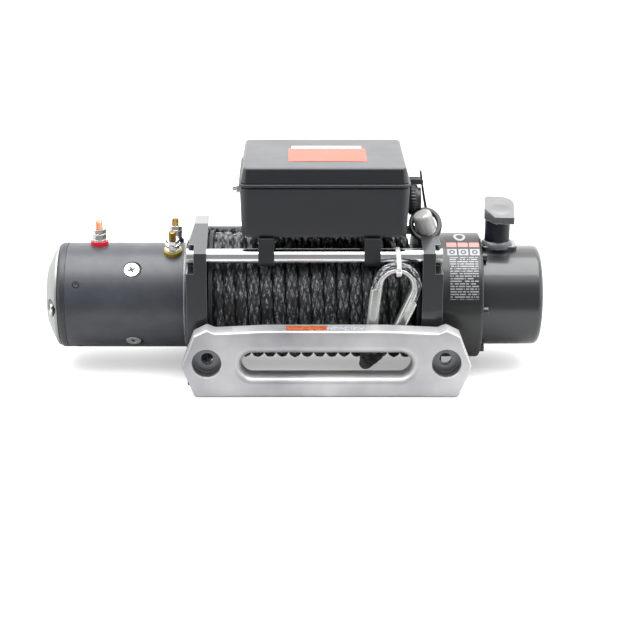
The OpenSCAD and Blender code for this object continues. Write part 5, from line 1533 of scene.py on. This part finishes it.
@dataclass
class Clutch:
    """The free-spool handle: saddle block with a coned collar, stem, and a knob with a finger dish."""

    x: float = 202.0
    stem_r: float = 13.8
    knob_z: float = 166.0
    turn_deg: float = -5.5
    knob_shift: float = 1.4

    def block(self) -> None:
        """Makes the saddle and the collar on it."""
        ring = rounded_box_ring(39.5, 30.5, 5, 6)
        saddle = stack([(ring, 127.0), (ring, 136.2), (rounded_box_ring(38.1, 29.1, 4.4, 6), 137.0)])
        seat = self.stem_r + 0.1
        collar = [(134.0, 16.9), (137.4, 16.9), (138.6, 16.5), (140.3, 15.4), (141.2, 14.5), (141.3, seat),
                  (134.0, seat), (134.0, 16.9)]
        saddle.moved((self.x + 1.4, 2.5, 0)).build("clutch_saddle", CASTING, stands_for=("clutch_base",),
                                                   slot="black_casting")
        upright = lathe(collar, 72).turned(UPRIGHT).moved((self.x, 0, 0))
        upright.build("clutch_collar", COLLAR, slot="black_casting")

    def stem(self) -> None:
        """Makes the stem, which lifts and keeps its pin inside the housing."""
        profile = [(129.5, 0.05), (129.5, 12.6), (130.3, self.stem_r), (165.4, self.stem_r),
                   (166.0, self.stem_r - 0.6), (166.0, 0.05)]
        upright = lathe(profile, 72, True).turned(UPRIGHT).moved((self.x, 0, 0))
        upright.build("clutch_shaft", CLUTCH_METAL, "clutch_stem", slot="clutch_metal")

    def top_height(self, ring: Array) -> Array:
        """Height of the knob's top: a slope to the front, less a shallow dish for the finger.

        Args:
            ring: Points (x, y).

        Returns:
            The height at each.
        """
        away = np.hypot((ring[:, 0] - 1.5) / 12.0, (ring[:, 1] + 7.5) / 13.0)
        return 8.0 + 10.0 * (ring[:, 1] + 27.5) / 55.0 - 0.9 * np.clip(1 - away**2, 0, 1) ** 1.2

    def knob(self) -> None:
        """Makes the knob: rings of one outline from its foot over a rounded edge to the dished top."""
        corners = [(16.4, -27.5), (16.4, 27.5), (-16.4, 27.5), (-16.4, -7.0), (-5.5, -27.5)]
        line = round_corners(corners, np.array([2.2, 18.0, 5.0, 7.0, 4.0]), 9)
        line = respace(close_ring(line), 161)[:-1]
        edge_r = 1.4
        levels = [(inset(line, 0.4), 0.0), (line, 0.5)]
        for a in np.linspace(0, math.pi / 2, 6):
            ring = inset(line, edge_r * (1 - math.cos(a)))
            levels.append((ring, self.top_height(ring) - edge_r * (1 - math.sin(a))))
        edge, middle = inset(line, edge_r), np.array([1.0, -5.0])
        shrunk = [middle + (edge - middle) * k for k in np.linspace(1, 0.01, 40)[1:]]
        levels += [(ring, self.top_height(ring)) for ring in shrunk]
        turn = math.radians(self.turn_deg)
        rows = ((math.cos(turn), math.sin(turn), 0), (-math.sin(turn), math.cos(turn), 0), (0, 0, 1))
        skin = stack([(close_ring(ring), close_ring(np.broadcast_to(z, len(ring)))) for ring, z in levels])
        skin.turned(rows).moved((self.x + self.knob_shift, 0, self.knob_z)).build(
            "clutch_handle", KNOB, "clutch_knob", ("clutch_knob",), "knob_casting", sharp=35)

    def build(self) -> None:
        """Makes the three parts of the handle."""
        self.block()
        self.stem()
        self.knob()


@dataclass
class MotorFittings:
    """What shows on the motor: end cap with its notches, cross-head screws and threaded studs."""

    can_r: float = 58.0
    pole_x: float = -198.0
    notch_deg: float = 181.0
    thread_pitch: float = 1.25

    def at_angle(self, x: float, angle_deg: float, radius: float) -> tuple[float, float, float]:
        """Place on the motor.

        Args:
            x: Place along the axis.
            angle_deg: Angle from the back towards the top.
            radius: Distance from the axis.

        Returns:
            The place in millimetres.
        """
        out = np.array(around(angle_deg)[2]) * radius
        return (x, out[1], AXIS_HEIGHT + out[2])

    def cap(self) -> None:
        """Turns the domed cap, cuts the two screw notches, seats their screws and darkens the notches with
        painted shade.
        """
        dome = smooth_line([(-279.2, 55.9), (-281.0, 56.0), (-282.6, 54.6), (-286.4, 47.5), (-290.4, 38.5),
                            (-292.4, 34.0), (-293.4, 30.0), (-293.7, 25.0)], 40)
        rest = [(-293.7, 21.0), (-293.0, 20.0), (-293.0, 0.05), (-279.2, 0.05), (-279.2, 55.9)]
        skin = lathe(np.concatenate([dome, rest]), 128).moved((0, 0, AXIS_HEIGHT))
        piece = skin.build("end_cap_casting", END_CAP, stands_for=("motor_end_cap",), slot="pale_end_cap",
                           sharp=35)
        notch = lathe([(-300.0, 9.8), (-280.6, 9.8)], 40, True)
        # A dark cup in each notch: painted shade
        notch_shade = lathe([(-280.8, 0.05), (-280.8, 9.75), (-283.9, 9.75), (-283.9, 9.2), (-281.4, 9.2),
                        (-281.4, 0.05)], 40, True)
        screw = lathe([(-281.0, 0.05), (-286.8, 0.05), (-286.8, 4.5), (-286.0, 5.4), (-281.0, 5.4),
                       (-281.0, 0.05)], 40)
        places = [self.at_angle(0, self.notch_deg + turn, 46.5) for turn in (0, 180)]
        carve(piece, [notch.moved(place) for place in places], 35)
        join([screw.moved(place) for place in places]).build("end_cap_screws", ZINC, slot="zinc_steel")
        notch_shades = join([notch_shade.moved(place) for place in places])
        notch_shades.build("end_cap_notch_shade", PAINTED_SHADE_BLACK, slot="black_screw")

    def pole_screws(self) -> None:
        """Makes the four flush screws with their cross recesses, each recess and countersink gap darkened
        with painted shade.
        """
        head_r, sink = 8.3, 0.55
        profile = [(-5.0, 0.05), (-5.0, 4.5), (-3.6, head_r - 1.6), (-0.5, head_r), (0.15, head_r),
                   (0.35, head_r - 0.25), (0.35, 0.05)]
        head = lathe(profile, 64, True).turned(UPRIGHT)
        arm, long = 1, 3.6
        corners = [(arm, -long), (arm, -arm), (long, -arm), (long, arm), (arm, arm), (arm, long),
                   (-arm, long), (-arm, arm), (-long, arm), (-long, -arm), (-arm, -arm), (-arm, -long)]
        cross = close_ring(round_corners(corners, 0.35, 3))
        cross = 1.25 * cross @ np.array([[0.94, 0.34], [-0.34, 0.94]])
        tool = stack([(cross * 0.55, -2.2), (cross, 1.0)])
        # Painted shade: a dark ring in each countersink gap and a dark fill in each cross recess
        gap = lathe([(-1.5, 8.0), (-1.5, 9.95), (-0.45, 9.95), (-0.65, 8.0), (-1.5, 8.0)], 64)
        gap_shade = gap.turned(UPRIGHT) + stack([(cross * 0.9, -1.0), (cross * 0.97, -0.1)])
        gaps = []
        for k, angle in enumerate((135.0, 225.0, 45.0, 315.0)):
            rows, place = around(angle), self.at_angle(self.pole_x, angle, self.can_r - sink)
            piece = head.turned(rows).moved(place).build(
                f"pole_screw_{k + 1}", ZINC, stands_for=("motor_screws",) if k == 0 else (),
                slot="zinc_steel", sharp=30)
            carve(piece, [tool.turned(rows).moved(place)], 30)
            gaps.append(gap_shade.turned(rows).moved(place))
        join(gaps).build("pole_screw_gap_shade", PAINTED_SHADE_BLACK, slot="black_screw")

    def studs(self) -> None:
        """Makes the three threaded studs.

        A stud's radius is a triangle wave of the height over the pitch less the turn, which makes
        one true helical thread.
        """
        turn = np.linspace(0, 1, 25)[None, :]
        height = np.linspace(0, 28.2, 150)[:, None]
        phase = (height / self.thread_pitch - turn) % 1
        radius = 3.45 + 0.55 * (1 - np.abs(2 * phase - 1))
        radius = np.minimum(radius, 4.0 - 1.1 * np.clip((height - 27.0) / 1.2, 0, 1))
        a = 2 * math.pi * turn
        grid = np.stack([radius * np.cos(a), radius * np.sin(a), np.broadcast_to(height, radius.shape)], 2)
        skin = Skin.grid(grid, True)
        for k, (x, tilt, finish) in enumerate(((-236.0, 0.0, RED_COPPER), (-154.0, 20.0, BRASS),
                                               (-154.0, -20.0, BRASS))):
            place = self.at_angle(x, 90.0 + tilt, self.can_r - 1.3)
            skin.turned(around(90.0 + tilt)).moved(place).build(
                f"terminal_stud_{k + 1}", finish, stands_for=("terminal_studs",) if k == 0 else (),
                slot="brass_stud", sharp=50)

    def seam(self) -> None:
        """Turns the thin raised lip where the can meets its support."""
        lip = [(-141.6, 57.7), (-141.4, 58.35), (-139.9, 58.35), (-139.7, 57.7), (-141.6, 57.7)]
        lathe(lip, 128).moved((0, 0, AXIS_HEIGHT)).build("motor_seam_lip", KNOB, slot="black_motor_paint")

    def dimples(self) -> None:
        """Lays a dark bevel round each of the can's four blind dimples, its black a painted shade.

        The flat ring is rolled round the can: its height adds to the radius, and its width over the
        can's radius is an angle.
        """
        profile = [(-0.9, 2.15), (-0.1, 2.4), (0.08, 3.2), (0.08, 4.1), (-0.15, 4.5), (-0.9, 3.6),
                   (-0.9, 2.15)]
        flat = lathe(profile, 40).turned(UPRIGHT)
        x, y, z = flat.points.T[..., None]
        bevels = []
        for angle in (62.0, 152.0, 242.0, 332.0):
            along, up, out = np.array(around(angle))
            turn = y / self.can_r
            points = x * along + (self.can_r + z) * (np.cos(turn) * out + np.sin(turn) * up)
            bevels.append(Skin(points, flat.quads, flat.caps, flat.uv).moved((-258.0, 0, AXIS_HEIGHT)))
        join(bevels).build("motor_can_dimples", PAINTED_SHADE_BLACK, slot="black_screw", sharp=60)

    def build(self) -> None:
        """Makes the cap, the seam, the dimples, the screws and the studs."""
        self.cap()
        self.seam()
        self.dimples()
        self.pole_screws()
        self.studs()


@dataclass
class DustCap:
    """The socket's rubber strap, its loop and the cup that covers the plug's mouth."""

    hinge: tuple[float, float, float] = (115.0, -12.0, 211.0)
    lean_deg: float = 8.0
    cup: tuple[float, float, float] = (119.4, -31.0, 157.4)
    cup_r: float = 10.6
    cup_h: float = 25.0
    slope_deg: float = 14.0
    loop_deg: float = 47.0

    def strap(self) -> Skin:
        """Sweeps the thin strap from above its pin down to the loop, a little thicker at its foot.

        With the distance s down from the pin, x grows with s and a little with its square, and y
        falls with the square of s.

        Returns:
            The surface.
        """
        down = np.linspace(-11, 45.5, 40)
        pin_x, pin_y, pin_z = self.hinge
        x = pin_x + 1.6 + down * math.tan(math.radians(self.lean_deg)) + 0.0009 * np.clip(down, 0, 99) ** 2
        path = np.stack([x, pin_y - 0.004 * np.clip(down - 10, 0, 99) ** 2, pin_z - down], 1)
        thick = (2.1 + 1.0 * np.clip(down / 44, 0, 1))[:, None, None]
        section = rounded_box_ring(1.0, 5.6, 0.45, 4) * np.concatenate([thick, np.ones_like(thick)], 2)
        return sweep(path, section, np.array([1.0, 0, 0]))

    def build(self) -> None:
        """Joins the strap's eye on the pin, the strap, the loop and the web under it, then makes the cup."""
        eye = lathe([(-2.8, 1.4), (-2.8, 2.9), (2.8, 2.9), (2.8, 1.4), (-2.8, 1.4)], 40)
        a = ring_angles(73)
        x, y, z = self.cup
        steep = math.radians(self.loop_deg)
        loop = np.stack([x + 0.9 + 15.2 * np.cos(a), y + 0.8 + 12.2 * np.sin(a),
                         z + 9.0 + math.tan(steep) * 12.2 * np.sin(a)], 1)
        band = rounded_box_ring(5.6, 6.2, 1.9, 4)
        up = np.array([0, -math.sin(steep), math.cos(steep)])
        side = np.cross(along_ring(loop), up)
        points = loop[:, None] + band[None, :, :1] * side[:, None] + band[None, :, 1:2] * up
        web = stack([(rounded_box_ring(27.0, 5.0, 1.0, 4), h) for h in (0.0, 1.6)])
        web = web.turned(around(90.0 + self.slope_deg)).moved((x, y, z - 1.2))
        skin = self.strap() + eye.turned(TO_BACK).moved(self.hinge) + Skin.grid(points) + web
        skin.build("dust_cap_strap", RUBBER, "socket_cap", ("socket_cap",), "cap_rubber", sharp=45)
        r, h = self.cup_r, self.cup_h
        edge = [(h - 4 + 4 * math.sin(t), r - 4 + 4 * math.cos(t)) for t in np.linspace(0, math.pi / 2, 8)]
        profile = [(-0.6, 0.05), (-0.6, r - 0.8), (0.2, r), (2.6, r), (3.0, r - 0.7), (3.6, r - 0.7),
                   (4.0, r), *edge, (h, 0.05)]
        top = unit(np.array([-0.36, -0.24, 0.95]))
        side = unit(np.cross((0, 1, 0), top))
        cup = lathe(profile, 64, True).turned(UPRIGHT).turned((side, np.cross(top, side), top))
        cup.moved((x + 4.0, y, z + 0.5)).build("dust_cap_cup", CAP_SKIN, "socket_cap", slot="cap_rubber",
                                               sharp=45)


@dataclass
class HousingLabel:
    """The label on the gear housing, bent round it."""

    x_span: tuple[float, float] = (143.4, 180.4)
    angles: tuple[float, float] = (9.0, 99.0)
    radius: float = 69.15

    def build(self) -> None:
        """Bends the label: a point at angle e from the front has y = -R cos e and z = R sin e."""
        angle, x = np.meshgrid(np.radians(np.linspace(*self.angles, 40)), np.linspace(*self.x_span, 6),
                               indexing="ij")
        grid = np.stack([x, -self.radius * np.cos(angle), AXIS_HEIGHT + self.radius * np.sin(angle)], 2)
        Skin.grid(grid).build("housing_label", HOUSING_LABEL, slot="black_casting")


def main() -> None:
    """Builds the studio, the rope, the pieces and their finishes."""
    logging.basicConfig(level=logging.INFO, format="%(message)s")
    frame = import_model()
    Studio().build()
    RopeEnd().build()
    Winding().build()
    Fairlead().build()
    ControlBox().build()
    Clutch().build()
    MotorFittings().build()
    DustCap().build()
    HousingLabel().build()
    dress_nodes(frame["nodes"])


if __name__ == "__main__":
    main()
